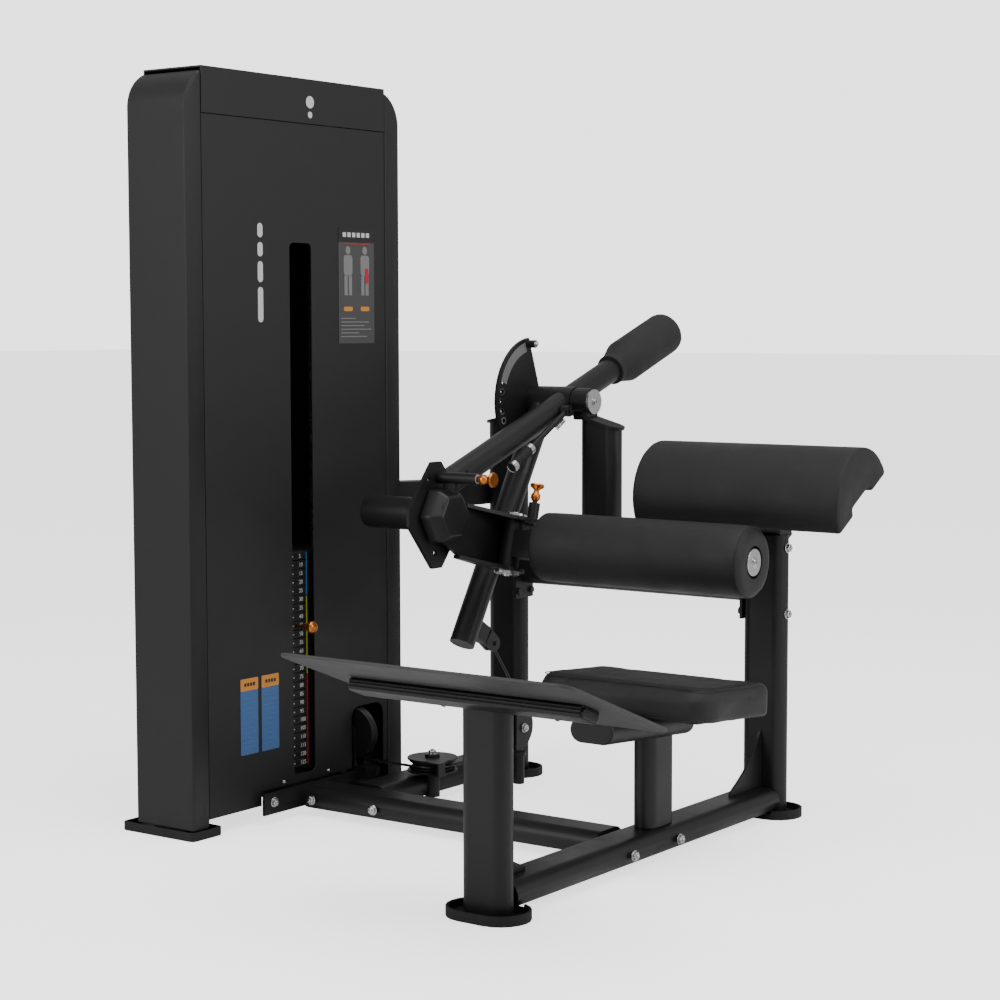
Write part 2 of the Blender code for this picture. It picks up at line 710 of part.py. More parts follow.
def weight_stack():
    slide = hinge_empty("stack_slide", (STACK_X, STACK_Y, STACK_BOTTOM))
    resting_top = STACK_BOTTOM + PLATES_RESTING * PLATE_PITCH
    part(stack_block("resting_plates", STACK_BOTTOM, PLATES_RESTING), IRON)

    lifted_low = resting_top
    lifted = stack_block("lifted_plates", lifted_low, PLATES_LIFTED)
    pin_z = lifted_low + (PLATE_PITCH - PLATE_GROOVE) / 2
    front = STACK_Y - STACK_DEPTH / 2
    cut(lifted, rod("pin_bore", (STACK_X, front - 0.01, pin_z), (STACK_X, STACK_Y, pin_z), 0.0045, sides=16))
    part(lifted, IRON)

    head_low = lifted_low + PLATES_LIFTED * PLATE_PITCH
    head = box("head_plate", (STACK_X - STACK_WIDTH / 2, front, head_low),
               (STACK_X + STACK_WIDTH / 2, front + STACK_DEPTH, head_low + PLATE_PITCH))
    drill_stack(head, head_low)
    part(soften(head, 0.002), IRON)

    selector = rod("selector_rod", (STACK_X, STACK_Y, STACK_BOTTOM + 0.001),
                   (STACK_X, STACK_Y, head_low + 0.040), SELECTOR_ROD_RADIUS)
    join(selector, rod("rod_collar", (STACK_X, STACK_Y, head_low + PLATE_PITCH + GAP),
                       (STACK_X, STACK_Y, head_low + 0.045), 0.019))
    cut(selector, rod("rod_pin_hole", (STACK_X, STACK_Y - 0.05, pin_z), (STACK_X, STACK_Y + 0.008, pin_z),
                      0.0045, sides=16))
    part(selector, STEEL)

    tip = (STACK_X, STACK_Y + 0.006, pin_z)
    pin = rod("selector_pin", (STACK_X, 0.4640, pin_z), tip, 0.0042, sides=16)
    knob = [(0.0, 0.0275), (0.0110, 0.0265), (0.0135, 0.0220), (0.0120, 0.0140), (0.0085, 0.0080),
            (0.0085, 0.0), (0.0, 0.0)]
    join(pin, turned("selector_knob", knob, (STACK_X, 0.4720, pin_z), (STACK_X, 0.4, pin_z), 20))
    part(pin, ORANGE)
    hang(slide, lifted, head, selector, pin)


# ---------------------------------------------------------------- pulleys and cable

def pulley(name, centre, axis, outer, groove, look=CABLE_BLACK):
    half = PULLEY_WIDTH / 2
    bore = AXLE_RADIUS + RUNNING_FIT
    profile = [(bore, half), (outer - 0.002, half), (outer, half - 0.003), (groove, 0.002), (groove, -0.002),
               (outer, -half + 0.003), (outer - 0.002, -half), (bore, -half), (bore, half)]
    centre = Vector(centre)
    wheel = turned(name, profile, centre, centre + Vector(axis), 32)
    return part(wheel, look)


def tower_pulleys():
    for name, x in zip(("top_pulley_right", "top_pulley_left"), top_pulley_places()):
        pulley(name, (x, STACK_Y, TOP_PULLEY_Z), (0, 1, 0), TOP_PULLEY_RADIUS, TOP_GROOVE_RADIUS)


def low_pulley_centre():
    return Vector((LOW_PULLEY_X, STACK_Y - LOW_WRAP, CABLE_Z + LOW_WRAP))


def low_pulley():
    centre = low_pulley_centre()
    pulley("low_pulley", centre, (1, 0, 0), LOW_PULLEY_RADIUS, LOW_GROOVE_RADIUS)
    x, y, z = centre
    fork = box("low_pulley_fork", (x - 0.0195, y - 0.016, 0.064), (x - 0.0135, y + 0.016, z + 0.016))
    join(fork, box("fork_right", (x + 0.0135, y - 0.016, 0.064), (x + 0.0195, y + 0.016, z + 0.016)))
    join(fork, box("fork_base", (x - 0.0195, y - 0.048, 0.038), (x + 0.0195, y + 0.0095, 0.072)))
    join(fork, rod("fork_axle", (x - 0.024, y, z), (x + 0.024, y, z), AXLE_RADIUS))
    join(fork, box("fork_foot", (x - 0.140, y - 0.026, 0.042), (x - 0.010, y - 0.006, 0.062)))
    part(fork, BLACK)


def floor_pulley():
    """The flat-lying pulley beside the rear rail, on a round post between two round plates."""
    x, y = FLOOR_PULLEY
    pulley("floor_pulley", (x, y, CABLE_Z), (0, 0, 1), SMALL_PULLEY_RADIUS, SMALL_GROOVE_RADIUS)
    housing = rod("floor_pulley_housing", (x, y, CABLE_Z + 0.0115), (x, y, CABLE_Z + 0.0155), 0.056, sides=40)
    join(housing, rod("housing_lower", (x, y, CABLE_Z - 0.0155), (x, y, CABLE_Z - 0.0115), 0.056, sides=40))
    join(housing, rod("housing_post", (x, y, 0.0135), (x, y, CABLE_Z + 0.022), 0.0165))
    cut(housing, rod("housing_gap", (x, y, CABLE_Z - 0.0113), (x, y, CABLE_Z + 0.0113), 0.030))
    join(housing, rod("housing_axle", (x, y, CABLE_Z - 0.013), (x, y, CABLE_Z + 0.013), AXLE_RADIUS))
    join(housing, hex_bolt("housing_bolt", (x, y, CABLE_Z + 0.021), (0, 0, 1), shank=0.002))
    low = CABLE_Z - 0.0155
    high = CABLE_Z + 0.0155
    join(housing, box("guard_low", (x - 0.058, y - 0.058, low), (x - 0.020, y - 0.030, low + 0.004)))
    join(housing, box("guard_high", (x - 0.058, y - 0.058, high - 0.004), (x - 0.020, y - 0.030, high)))
    join(housing, box("guard_web", (x - 0.058, y - 0.062, low), (x - 0.034, y - 0.057, high)))
    part(housing, BLACK)


def post_pulley():
    """The pulley at the pivot post's foot, which turns the lever's cable towards the tower."""
    x = POST_PULLEY_X
    z = CABLE_Z + SMALL_WRAP
    pulley("post_pulley", (x, LEVER_Y, z), (0, 1, 0), SMALL_PULLEY_RADIUS, SMALL_GROOVE_RADIUS)
    outline = [(0.275, 0.060), (0.302, 0.060), (0.306, 0.085), (0.331, 0.120), (0.331, 0.175), (0.278, 0.175)]
    bracket = slab("post_pulley_bracket", [outline], 0.006,
                   frame_from((0, 0.2415, 0), (1, 0, 0), (0, 0, 1)))
    join(bracket, box("bracket_arm", (0.280, 0.2390, 0.066), (0.300, 0.3640, 0.080)))
    join(bracket, box("bracket_block", (0.285, 0.3350, 0.067), (PIVOT_POST[0] - 0.0253, 0.3650, 0.110)))
    join(bracket, rod("bracket_axle", (x, 0.2420, z), (x, 0.2720, z), AXLE_RADIUS))
    join(bracket, hex_bolt("bracket_bolt", (x, 0.2385, z), (0, -1, 0), shank=0.001))
    join(bracket, rod("stub_pin", (0.268, 0.2260, 0.0135), (0.268, 0.2260, 0.085), 0.0125))
    join(bracket, rod("stub_collar", (0.268, 0.2260, 0.078), (0.268, 0.2260, 0.087), 0.0165))
    part(bracket, BLACK)


def wire(name, points):
    """A length of cable along straight and curved stretches."""
    curve = bpy.data.curves.new(name, "CURVE")
    curve.dimensions = "3D"
    curve.bevel_depth = CABLE_RADIUS
    curve.bevel_resolution = 2
    curve.use_fill_caps = True
    spline = curve.splines.new("POLY")
    spline.points.add(len(points) - 1)
    for target, point in zip(spline.points, points):
        target.co = (*point, 1.0)
    item = bpy.data.objects.new(name, curve)
    PARTS.objects.link(item)
    curve.materials.append(material(CABLE_BLACK))
    return item


def around(centre, radius, first, second, start, end, steps):
    """Points on a circle from angle start to angle end in the plane of two world directions."""
    centre = Vector(centre)
    turns = [start + (end - start) * step / steps for step in range(steps + 1)]
    return [centre + radius * (math.cos(turn) * Vector(first) + math.sin(turn) * Vector(second))
            for turn in turns]


def clevis_point():
    pivot, down, out = lever_points()
    return pivot + down * CLEVIS_ALONG + out * CLEVIS_OUT


def cable():
    """The cable runs from the lever's clevis under the post pulley, round the floor pulley, under the
    low pulley and up over the top pulleys to the head plate."""
    sideways = Vector((1, 0, 0))
    back = Vector((0, 1, 0))
    up = Vector((0, 0, 1))
    post_centre = Vector((POST_PULLEY_X, LEVER_Y, CABLE_Z + SMALL_WRAP))
    start = clevis_point()
    reach = start - post_centre
    lean = math.atan2(reach.z, reach.x) - math.acos(SMALL_WRAP / Vector((reach.x, reach.z)).length)
    post_turn = around(post_centre, SMALL_WRAP, sideways, up, lean, -math.pi / 2, 12)
    lever_end = start + (post_turn[0] - start).normalized() * 0.018
    wire("cable_lever_end", [lever_end, lever_end.lerp(post_turn[0], 0.5), post_turn[0]])

    floor_centre = Vector((*FLOOR_PULLEY, CABLE_Z))
    floor_turn = around(floor_centre, SMALL_WRAP, sideways, back, -math.pi / 2, -math.pi, 8)
    low_centre = low_pulley_centre()
    low_turn = around(low_centre, LOW_WRAP, back, up, -math.pi / 2, 0.0, 8)
    right_x, left_x = top_pulley_places()
    right_turn = around((right_x, STACK_Y, TOP_PULLEY_Z), TOP_WRAP, sideways, up, 0.0, math.pi / 2, 7)
    left_turn = around((left_x, STACK_Y, TOP_PULLEY_Z), TOP_WRAP, sideways, up, math.pi / 2, math.pi, 7)
    skip = GAP * (post_turn[1] - post_turn[0]).normalized()
    route = [post_turn[0] + skip] + post_turn[1:] + floor_turn + low_turn + right_turn + left_turn
    wire("cable_run", route)

    hook = Vector((STACK_X, STACK_Y, STACK_BOTTOM + 25 * PLATE_PITCH + 0.0265))
    drop = left_turn[-1] - up * 2 * GAP
    wire("cable_stack_end", [drop, Vector((STACK_X, STACK_Y, (hook.z + drop.z) / 2)), hook])


# ---------------------------------------------------------------- seat, foot plate, back pad

def seat_axis(x):
    return SEAT_TUBE_Z - (x - sum(SEAT_TUBE_X) / 2) * math.tan(SEAT_TILT)


def seat():
    start = (SEAT_TUBE_X[0], SEAT_POST[1], seat_axis(SEAT_TUBE_X[0]))
    end = (SEAT_TUBE_X[1], SEAT_POST[1], seat_axis(SEAT_TUBE_X[1]))
    tube = soften(oval_bar("seat_tube", start, end, (0, 1, 0)), 0.004)

    post = oval_post("seat_post", SEAT_POST, RAIL_Z + OVAL_NARROW / 2 + GAP, 0.290, (1, 0, 0))
    down = Vector((math.sin(SEAT_TILT), 0, math.cos(SEAT_TILT)))
    along = Vector((math.cos(SEAT_TILT), 0, -math.sin(SEAT_TILT)))
    under = Vector((SEAT_POST[0], SEAT_POST[1], seat_axis(SEAT_POST[0]))) - down * (OVAL_NARROW / 2 + GAP)
    cut(post, tilted_box("seat_post_trim", (0.3, 0.3, 0.2), frame_from(under + down * 0.1, along, (0, 1, 0))))
    part(post, BLACK)

    above = Vector((SEAT_CENTRE_X, SEAT_POST[1], seat_axis(SEAT_CENTRE_X))) + down * OVAL_NARROW / 2
    board = tilted_box("seat_board", (0.215, 0.350, 0.010), frame_from(above + down * 0.003, along, (0, 1, 0)))
    part(join(tube, board), BLACK)
    lift = 0.008 + GAP + SEAT_SIZE[2] / 2
    outline = rounded(SEAT_SIZE[0], SEAT_SIZE[1], 0.035)
    pad = slab("seat_pad", [outline], SEAT_SIZE[2], frame_from(above + down * lift, along, (0, 1, 0)))
    part(soften(pad, 0.008), LEATHER)


def foot_frame(offset):
    along = Vector((math.cos(FOOT_PLATE_TILT), 0, -math.sin(FOOT_PLATE_TILT)))
    matrix = frame_from(FOOT_PLATE_CENTRE, along, (0, 1, 0))
    return matrix @ Matrix.Translation((0, 0, offset))


def foot_plate():
    outline = rounded(FOOT_PLATE_WIDTH, FOOT_PLATE_LENGTH, 0.030, 5)
    plate = slab("foot_plate", [outline], FOOT_PLATE_THICKNESS, foot_frame(0.0))
    underside = -FOOT_PLATE_THICKNESS / 2
    down = foot_frame(0.0).to_3x3() @ Vector((0, 0, -1))
    for index, y in enumerate((-0.165, 0.165)):
        seat_at = foot_frame(0.0) @ Vector((0.105, y, underside))
        join(plate, hex_bolt(f"foot_bolt_{index}", seat_at, down, 0.009, 0.016, 0.001))
    part(plate, GREY)

    middle = underside - GAP - 0.012
    rail = slab("foot_rail", [rounded(0.060, 0.520, 0.020, 5)], 0.024, foot_frame(middle))
    part(soften(rail, 0.006), BLACK)

    post = bpy.data.objects["front_post"]
    flange = 0.008
    flange_middle = underside - GAP - flange / 2
    trim_depth = 0.2
    cut(post, tilted_box("front_post_trim", (0.5, 0.7, trim_depth), foot_frame(flange_middle + trim_depth / 2)))
    at_bolts = foot_frame(flange_middle) @ Matrix.Translation((0.067, 0, 0))
    join(post, tilted_box("foot_flange", (0.044, 0.370, flange), at_bolts))


def back_pad():
    """A half-round pad whose flat side faces down and back, with a wide shallow channel for its bracket."""
    radius = BACK_PAD_RADIUS
    edge = 0.006
    bow = arc((0, 0), radius, 2 * DEG, 178 * DEG, 24)
    outline = [(radius - edge, 0.0)] + bow + [(-radius + edge, 0.0), (-0.048, 0.0), (-0.048, 0.018),
                                              (0.048, 0.018), (0.048, 0.0)]
    climb = (math.cos(BACK_PAD_TILT), 0, math.sin(BACK_PAD_TILT))
    pad = slab("back_pad", [outline], BACK_PAD_LENGTH, frame_from(BACK_PAD_CENTRE, climb, pad_normal()))
    part(soften(pad, 0.006), LEATHER)


# ---------------------------------------------------------------- lever

def pivot_axle():
    y_cap = 0.116
    axle = rod("pivot_axle", (PIVOT_X, 0.120, PIVOT_Z), (PIVOT_X, 0.352, PIVOT_Z), PIVOT_AXLE_RADIUS)
    join(axle, rod("axle_cap_near", (PIVOT_X, y_cap, PIVOT_Z), (PIVOT_X, 0.1221, PIVOT_Z), 0.0285))
    join(axle, rod("axle_cap_far", (PIVOT_X, 0.3404, PIVOT_Z), (PIVOT_X, 0.3464, PIVOT_Z), 0.0285))
    part(axle, STEEL)


def lever_points():
    pivot = Vector((PIVOT_X, LEVER_Y, PIVOT_Z))
    down = Vector((-math.cos(LEVER_ANGLE), 0, -math.sin(LEVER_ANGLE)))
    out = Vector((math.sin(LEVER_ANGLE), 0, -math.cos(LEVER_ANGLE)))
    return pivot, down, out


def lever():
    pivot, down, out = lever_points()
    axis = hinge_empty("lever_axis", pivot)
    bore = rod("lever_bore", (PIVOT_X, 0.2, PIVOT_Z), (PIVOT_X, 0.32, PIVOT_Z), PIVOT_AXLE_RADIUS + RUNNING_FIT)
    tube = rod("lever_arm", pivot + down * 0.010, pivot + down * LEVER_LENGTH, ROUND_TUBE_RADIUS, 36)
    join(tube, rod("lever_hub", (PIVOT_X, 0.2268, PIVOT_Z), (PIVOT_X, 0.2862, PIVOT_Z), HUB_RADIUS))
    lug_middle = pivot + down * (CLEVIS_ALONG - 0.004) + out * 0.045
    join(tube, tilted_box("lever_lug", (0.040, 0.045, 0.022), frame_from(lug_middle, down, out)))
    part(cut(tube, bore), BLACK)

    clevis_axis = Vector((0, 1, 0))
    base = pivot + down * (CLEVIS_ALONG - 0.004) + out * 0.0702
    end = clevis_point()
    to_end = (end - base).normalized()
    outline = [(0.0, -0.018), (0.0, 0.018)] + [
        (x + (end - base).length, y) for x, y in reversed(arc((0, 0), 0.018, -math.pi / 2, math.pi / 2, 8))]
    body = slab("cable_clevis", [outline], 0.024, frame_from(base, to_end, clevis_axis.cross(to_end)))
    slot_middle = base + to_end * 0.048
    cut(body, tilted_box("clevis_slot", (0.060, 0.008, 0.060),
                         frame_from(slot_middle, to_end, clevis_axis)))
    join(body, rod("clevis_pin", end - clevis_axis * 0.016, end + clevis_axis * 0.016, 0.005, 16))
    part(body, BLACK)

    sector_y = sum(SECTOR_Y) / 2
    fan = arc((0, 0), SECTOR_RADIUS, 97 * DEG, 218 * DEG, 24)
    hub_side = arc((0, 0), HUB_RADIUS, 250 * DEG, 400 * DEG, 8)
    holes = [circle((LOCK_RADIUS * math.cos(turn), LOCK_RADIUS * math.sin(turn)), 0.0060, 12)
             for turn in lock_angles()]
    centre_hole = circle((0, 0), PIVOT_AXLE_RADIUS + RUNNING_FIT, 28)
    plate = slab("lock_sector", [fan + hub_side, centre_hole] + holes, SECTOR_Y[1] - SECTOR_Y[0],
                 frame_from((PIVOT_X, sector_y, PIVOT_Z), (1, 0, 0), (0, 0, 1)))
    bump_turn = 101 * DEG
    bump = Vector((PIVOT_X + 0.134 * math.cos(bump_turn), 0, PIVOT_Z + 0.134 * math.sin(bump_turn)))
    join(plate, rod("sector_stop", bump + Vector((0, 0.262, 0)), bump + Vector((0, 0.290, 0)), 0.009, 20))
    part(plate, BLACK)
    hang(axis, bpy.data.objects["lever_arm"], bpy.data.objects["cable_clevis"], plate)


def lock_angles():
    rest = math.pi + ARM_SLOPE
    return [rest - LOCK_STEP * step for step in range(6)]


# ---------------------------------------------------------------- main arm

def arm_direction():
    return Vector((-math.cos(ARM_SLOPE), 0, -math.sin(ARM_SLOPE)))


def main_arm():
    pivot = Vector((PIVOT_X, ARM_Y, PIVOT_Z))
    ahead = arm_direction()
    axis = hinge_empty("main_arm_axis", pivot)
    tube = rod("main_arm", pivot - ahead * 0.200, pivot + ahead * ARM_REACH, ROUND_TUBE_RADIUS, 36)
    join(tube, rod("main_hub", (PIVOT_X, 0.1655, PIVOT_Z), (PIVOT_X, 0.2262, PIVOT_Z), HUB_RADIUS))
    cut(tube, rod("main_bore", (PIVOT_X, 0.1, PIVOT_Z), (PIVOT_X, 0.3, PIVOT_Z),
                  PIVOT_AXLE_RADIUS + RUNNING_FIT))
    cut(tube, rod("end_tube_clearance", (END_TUBE_X, 0.1, END_TUBE_Z), (END_TUBE_X, 0.4, END_TUBE_Z),
                  END_TUBE_RADIUS + GAP))
    cut(tube, box("lock_plate_clearance", (-0.3, 0.10, 0.5), (0.0, LOCK_PLATE_Y[1] + GAP, 0.8)))
    join(tube, rod("release_pin", (0.359, 0.1435, 0.866), (0.359, 0.1800, 0.866), 0.005, 16))
    part(tube, BLACK)

    weight = [(0.0, 0.461), (0.044, 0.461), (0.051, 0.453), (0.051, 0.262), (0.036, 0.222), (0.036, 0.2005),
              (0.0, 0.2005)]
    part(turned("counterweight", weight, pivot, pivot - ahead, 40), BLACK)

    end = rod("end_tube", (END_TUBE_X, LOCK_PLATE_Y[0] + 0.001, END_TUBE_Z), (END_TUBE_X, 0.340, END_TUBE_Z),
              END_TUBE_RADIUS, 36)
    holes = [circle((PULL_PIN_ARM * math.cos(turn), PULL_PIN_ARM * math.sin(turn)), 0.0061, 16)
             for turn in (PULL_PIN_ANGLE, PULL_PIN_ANGLE + 25 * DEG, PULL_PIN_ANGLE - 25 * DEG,
                          PULL_PIN_ANGLE + 180 * DEG)]
    corners = [(0.095, 0.018), (0.022, 0.106), (0.016, 0.113), (-0.016, 0.113), (-0.022, 0.106),
               (-0.095, 0.018), (-0.095, -0.018), (-0.022, -0.106), (-0.016, -0.113), (0.016, -0.113),
               (0.022, -0.106), (0.095, -0.018)]
    plate_y = sum(LOCK_PLATE_Y) / 2
    lock_plate = slab("lock_plate", [corners] + holes, LOCK_PLATE_Y[1] - LOCK_PLATE_Y[0],
                      frame_from((END_TUBE_X, plate_y, END_TUBE_Z), (1, 0, 0), (0, 0, 1)))
    join(end, lock_plate)
    cut(end, rod("end_bore", (END_TUBE_X, 0.1, END_TUBE_Z), (END_TUBE_X, 0.4, END_TUBE_Z),
                 0.020 + RUNNING_FIT))
    part(end, BLACK)
    hang(axis, tube, bpy.data.objects["counterweight"], end)


def release_lever():
    """The hand lever under the main arm that draws the lock pin out of the sector."""
    pivot = Vector((0.359, 0.1560, 0.866))
    axis = hinge_empty("release_axis", pivot)
    ahead = Vector((-0.877, 0, -0.4805))
    lever_rod = rod("release_lever", pivot + ahead * 0.008, pivot + ahead * 0.160, 0.0065, 20)
    boss = rod("release_boss", pivot - Vector((0, 0.009, 0)), pivot + Vector((0, 0.009, 0)), 0.013, 24)
    join(lever_rod, boss)
    cut(lever_rod, rod("release_bore", pivot - Vector((0, 0.05, 0)), pivot + Vector((0, 0.05, 0)), 0.0053, 16))
    part(lever_rod, BLACK)
    grip = rod("release_grip", pivot + ahead * 0.1603, pivot + ahead * 0.245, 0.0125, 24)
    part(soften(grip, 0.003), STEEL)
    hang(axis, lever_rod, grip)


# ---------------------------------------------------------------- carriage

def swing_frame():
    """Local X runs away from the arm's end, local Z along the swing pin, local Y towards the tower."""
    across = Vector((math.cos(SWING_TILT), 0, -math.sin(SWING_TILT)))
    return frame_from(SWING_PIN, across, (0, 1, 0))


def in_swing(x, y, z):
    return swing_frame() @ Vector((x, y, z))


def carriage():
    axis = hinge_empty("carriage_axis", (END_TUBE_X, 0.15, END_TUBE_Z))
    frame = swing_frame()
    hinge = frame.inverted() @ Vector((END_TUBE_X, SWING_PIN.y, END_TUBE_Z))
    web_y = 0.031
    web_frame = frame @ Matrix.Translation((0, web_y, 0)) @ Matrix.Rotation(90 * DEG, 4, "X")
    round_end = arc((hinge.x, hinge.z), 0.052, 110 * DEG, 250 * DEG, 12)
    web = slab("carriage", [round_end + [(-0.120, -0.060), (0.030, -0.060), (0.030, 0.060), (-0.120, 0.060)]],
               0.010, web_frame)
    hub_low = (END_TUBE_X, 0.1180, END_TUBE_Z)
    join(web, rod("carriage_boss", hub_low, (END_TUBE_X, 0.1636, END_TUBE_Z), 0.046, 32))
    join(web, rod("carriage_axle", hub_low, (END_TUBE_X, 0.3440, END_TUBE_Z), 0.020, 28))
    join(web, rod("axle_ring", (END_TUBE_X, 0.3403, END_TUBE_Z), (END_TUBE_X, 0.3460, END_TUBE_Z), 0.034, 32))
    nose = arc((0, 0), 0.038, 10 * DEG, -150 * DEG, 12)
    lower = [(0.036, 0.036)] + nose + [(-0.150, 0.020), (-0.150, 0.036)]
    join(web, slab("lower_plate", [lower], BRACKET_PLATE, frame @ Matrix.Translation((0, 0, -BRACKET_HALF))))
    wing = arc((0, 0), 0.080, 20 * DEG, -62 * DEG, 8)
    upper = [(0.074, 0.036)] + wing + arc((0, 0), 0.038, -75 * DEG, -150 * DEG, 6) + [
        (-0.150, 0.020), (-0.150, 0.036)]
    join(web, slab("upper_plate", [upper], BRACKET_PLATE, frame @ Matrix.Translation((0, 0, BRACKET_HALF))))
    cut(web, rod("swing_bore", in_swing(0, 0, -0.1), in_swing(0, 0, 0.1), 0.0123, 24))

    lock = pull_pin_place()
    join(web, rod("lock_barrel", (lock.x, 0.0620, lock.z), (lock.x, 0.1636, lock.z), 0.0125, 24))
    join(web, box("lock_gusset", (lock.x - 0.006, 0.118, END_TUBE_Z + 0.030),
                  (lock.x + 0.006, 0.150, lock.z - 0.006)))
    cut(web, rod("lock_bore", (lock.x, 0.0, lock.z), (lock.x, 0.17, lock.z), PULL_PIN_RADIUS + 0.0002, 16))
    join(web, rod("swing_barrel", in_swing(0.066, 0, BRACKET_HALF), in_swing(0.066, 0, 0.104), 0.0125, 24))
    cut(web, rod("swing_lock_bore", in_swing(0.066, 0, 0.03), in_swing(0.066, 0, 0.15),
                 PULL_PIN_RADIUS + 0.0002, 16))
    part(web, BLACK)

    pin = rod("swing_pin", in_swing(0, 0, -0.0628), in_swing(0, 0, 0.0628), 0.012, 24)
    join(pin, rod("pin_cap_low", in_swing(0, 0, -0.0663), in_swing(0, 0, -BRACKET_HALF - 0.0043), 0.0275, 28))
    join(pin, rod("pin_cap_high", in_swing(0, 0, BRACKET_HALF + 0.0043), in_swing(0, 0, 0.0663), 0.0275, 28))
    part(pin, STEEL)

    hang(axis, web, pin)


def pull_pin_place():
    return Vector((END_TUBE_X + PULL_PIN_ARM * math.cos(PULL_PIN_ANGLE), 0.0,
                   END_TUBE_Z + PULL_PIN_ARM * math.sin(PULL_PIN_ANGLE)))


def plunger(name, tip, direction, stem):
    """A spring plunger: a pin, a collar, a small ball and a dished finger knob."""
    out = Vector(direction).normalized()
    tip = Vector(tip)
    knob = [(0.0, 0.042), (0.0145, 0.042), (0.0160, 0.039), (0.0150, 0.035), (0.0060, 0.029), (0.0060, 0.024),
            (0.0105, 0.018), (0.0105, 0.010), (0.0075, 0.005), (PULL_PIN_RADIUS, 0.003),
            (PULL_PIN_RADIUS, -stem), (0.0, -stem)]
    base = tip + out * stem
    return part(turned(name, knob, base, base + out, 20), ORANGE)


def pull_pins():
    lock = pull_pin_place()
    stem = 0.1025
    plunger("lock_pull_pin", (lock.x, 0.0615 + stem - GAP, lock.z), (0, -1, 0), stem)
    swing_stem = 0.0522
    base = in_swing(0.066, 0, 0.1043)
    up = base - in_swing(0.066, 0, 0.0)
    plunger("swing_pull_pin", base - up.normalized() * swing_stem, up, swing_stem)


def roller_direction():
    along = Vector((math.sin(ROLLER_YAW), -math.cos(ROLLER_YAW), 0))
    normal = swing_frame().to_3x3() @ Vector((0, 0, 1))
    return (along - normal * along.dot(normal)).normalized()


def roller_arm():
    axis = hinge_empty("swing_axis", SWING_PIN)
    ahead = roller_direction()
    normal = swing_frame().to_3x3() @ Vector((0, 0, 1))
    barrel = rod("roller_arm", in_swing(0, 0, -0.0517), in_swing(0, 0, 0.0517), 0.0235, 28)
    block_middle = SWING_PIN + ahead * 0.0520
    join(barrel, tilted_box("roller_block", (0.064, 0.060, 0.044), frame_from(block_middle, ahead, normal)))
    lug_outline = [(-0.02, -0.018), (0.070, -0.016), (0.080, -0.008), (0.080, 0.008), (0.070, 0.016), (-0.02, 0.018)]
    join(barrel, slab("swing_lug", [lug_outline], 0.006, swing_frame() @ Matrix.Translation((0, 0, 0.0485))))
    cut(barrel, rod("arm_bore", in_swing(0, 0, -0.1), in_swing(0, 0, 0.1), 0.0123, 24))
    cut(barrel, rod("arm_lock_hole", in_swing(0.066, 0, 0.03), in_swing(0.066, 0, 0.06), 0.0060, 16))
    join(barrel, rod("roller_shaft", SWING_PIN + ahead * 0.080,
                     SWING_PIN + ahead * (ROLLER_START + ROLLER_LENGTH - 0.008), ROLLER_BORE - 0.0005, 32))
    part(barrel, BLACK)

    shaft_end = SWING_PIN + ahead * (ROLLER_START + ROLLER_LENGTH - 0.008 + GAP)
    part(soften(rod("roller_end_cap", shaft_end, shaft_end + ahead * 0.006, 0.0285, 32), 0.001), STEEL)

    start = SWING_PIN + ahead * ROLLER_START
    end = start + ahead * ROLLER_LENGTH
    round_edge = 0.010
    profile = [(0.0335, ROLLER_LENGTH), (ROLLER_RADIUS - round_edge, ROLLER_LENGTH),
               (ROLLER_RADIUS - 0.003, ROLLER_LENGTH - 0.003), (ROLLER_RADIUS, ROLLER_LENGTH - round_edge),
               (ROLLER_RADIUS, round_edge), (ROLLER_RADIUS - 0.003, 0.003), (ROLLER_RADIUS - round_edge, 0.0),
               (ROLLER_BORE, 0.0), (ROLLER_BORE, ROLLER_LENGTH - 0.012), (0.0335, ROLLER_LENGTH - 0.012),
               (0.0335, ROLLER_LENGTH)]
    roller = part(turned("roller", profile, start, end, 48), LEATHER)
    hang(axis, barrel, bpy.data.objects["roller_end_cap"], roller)


def feet():
    tray_foot("foot_front", FRONT_POST, 1)
    tray_foot("foot_back", BACK_POST, -1)
    tray_foot("foot_pivot", PIVOT_POST, -1)
    square_tray("tower_foot_left", TOWER_LEFT - 0.006, TOWER_LEFT + 0.085)
    square_tray("tower_foot_right", TOWER_RIGHT - 0.085, TOWER_RIGHT + 0.006)


def main():
    feet()
    rails()
    posts()
    pivot_posts()
    bridge_beam()
    link_beam()
    cover("tower_cover_left", TOWER_LEFT, 1)
    cover("tower_cover_right", TOWER_RIGHT, -1)
    front_panel()
    back_panel()
    header()
    tower_frame()
    guide_rods()
    weight_stack()
    tower_pulleys()
    low_pulley()
    floor_pulley()
    post_pulley()
    cable()
    seat()
    foot_plate()
    back_pad()
    pivot_axle()
    lever()
    main_arm()
    release_lever()
    carriage()
    pull_pins()
    roller_arm()
    bpy.context.view_layer.update()


if __name__ == "__main__":
    main()
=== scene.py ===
"""The look of the hip thrust machine: painted tube, sheet steel, leatherette pads and bright fasteners."""
import json
import math

import bmesh
import bpy
from mathutils import Matrix, Vector


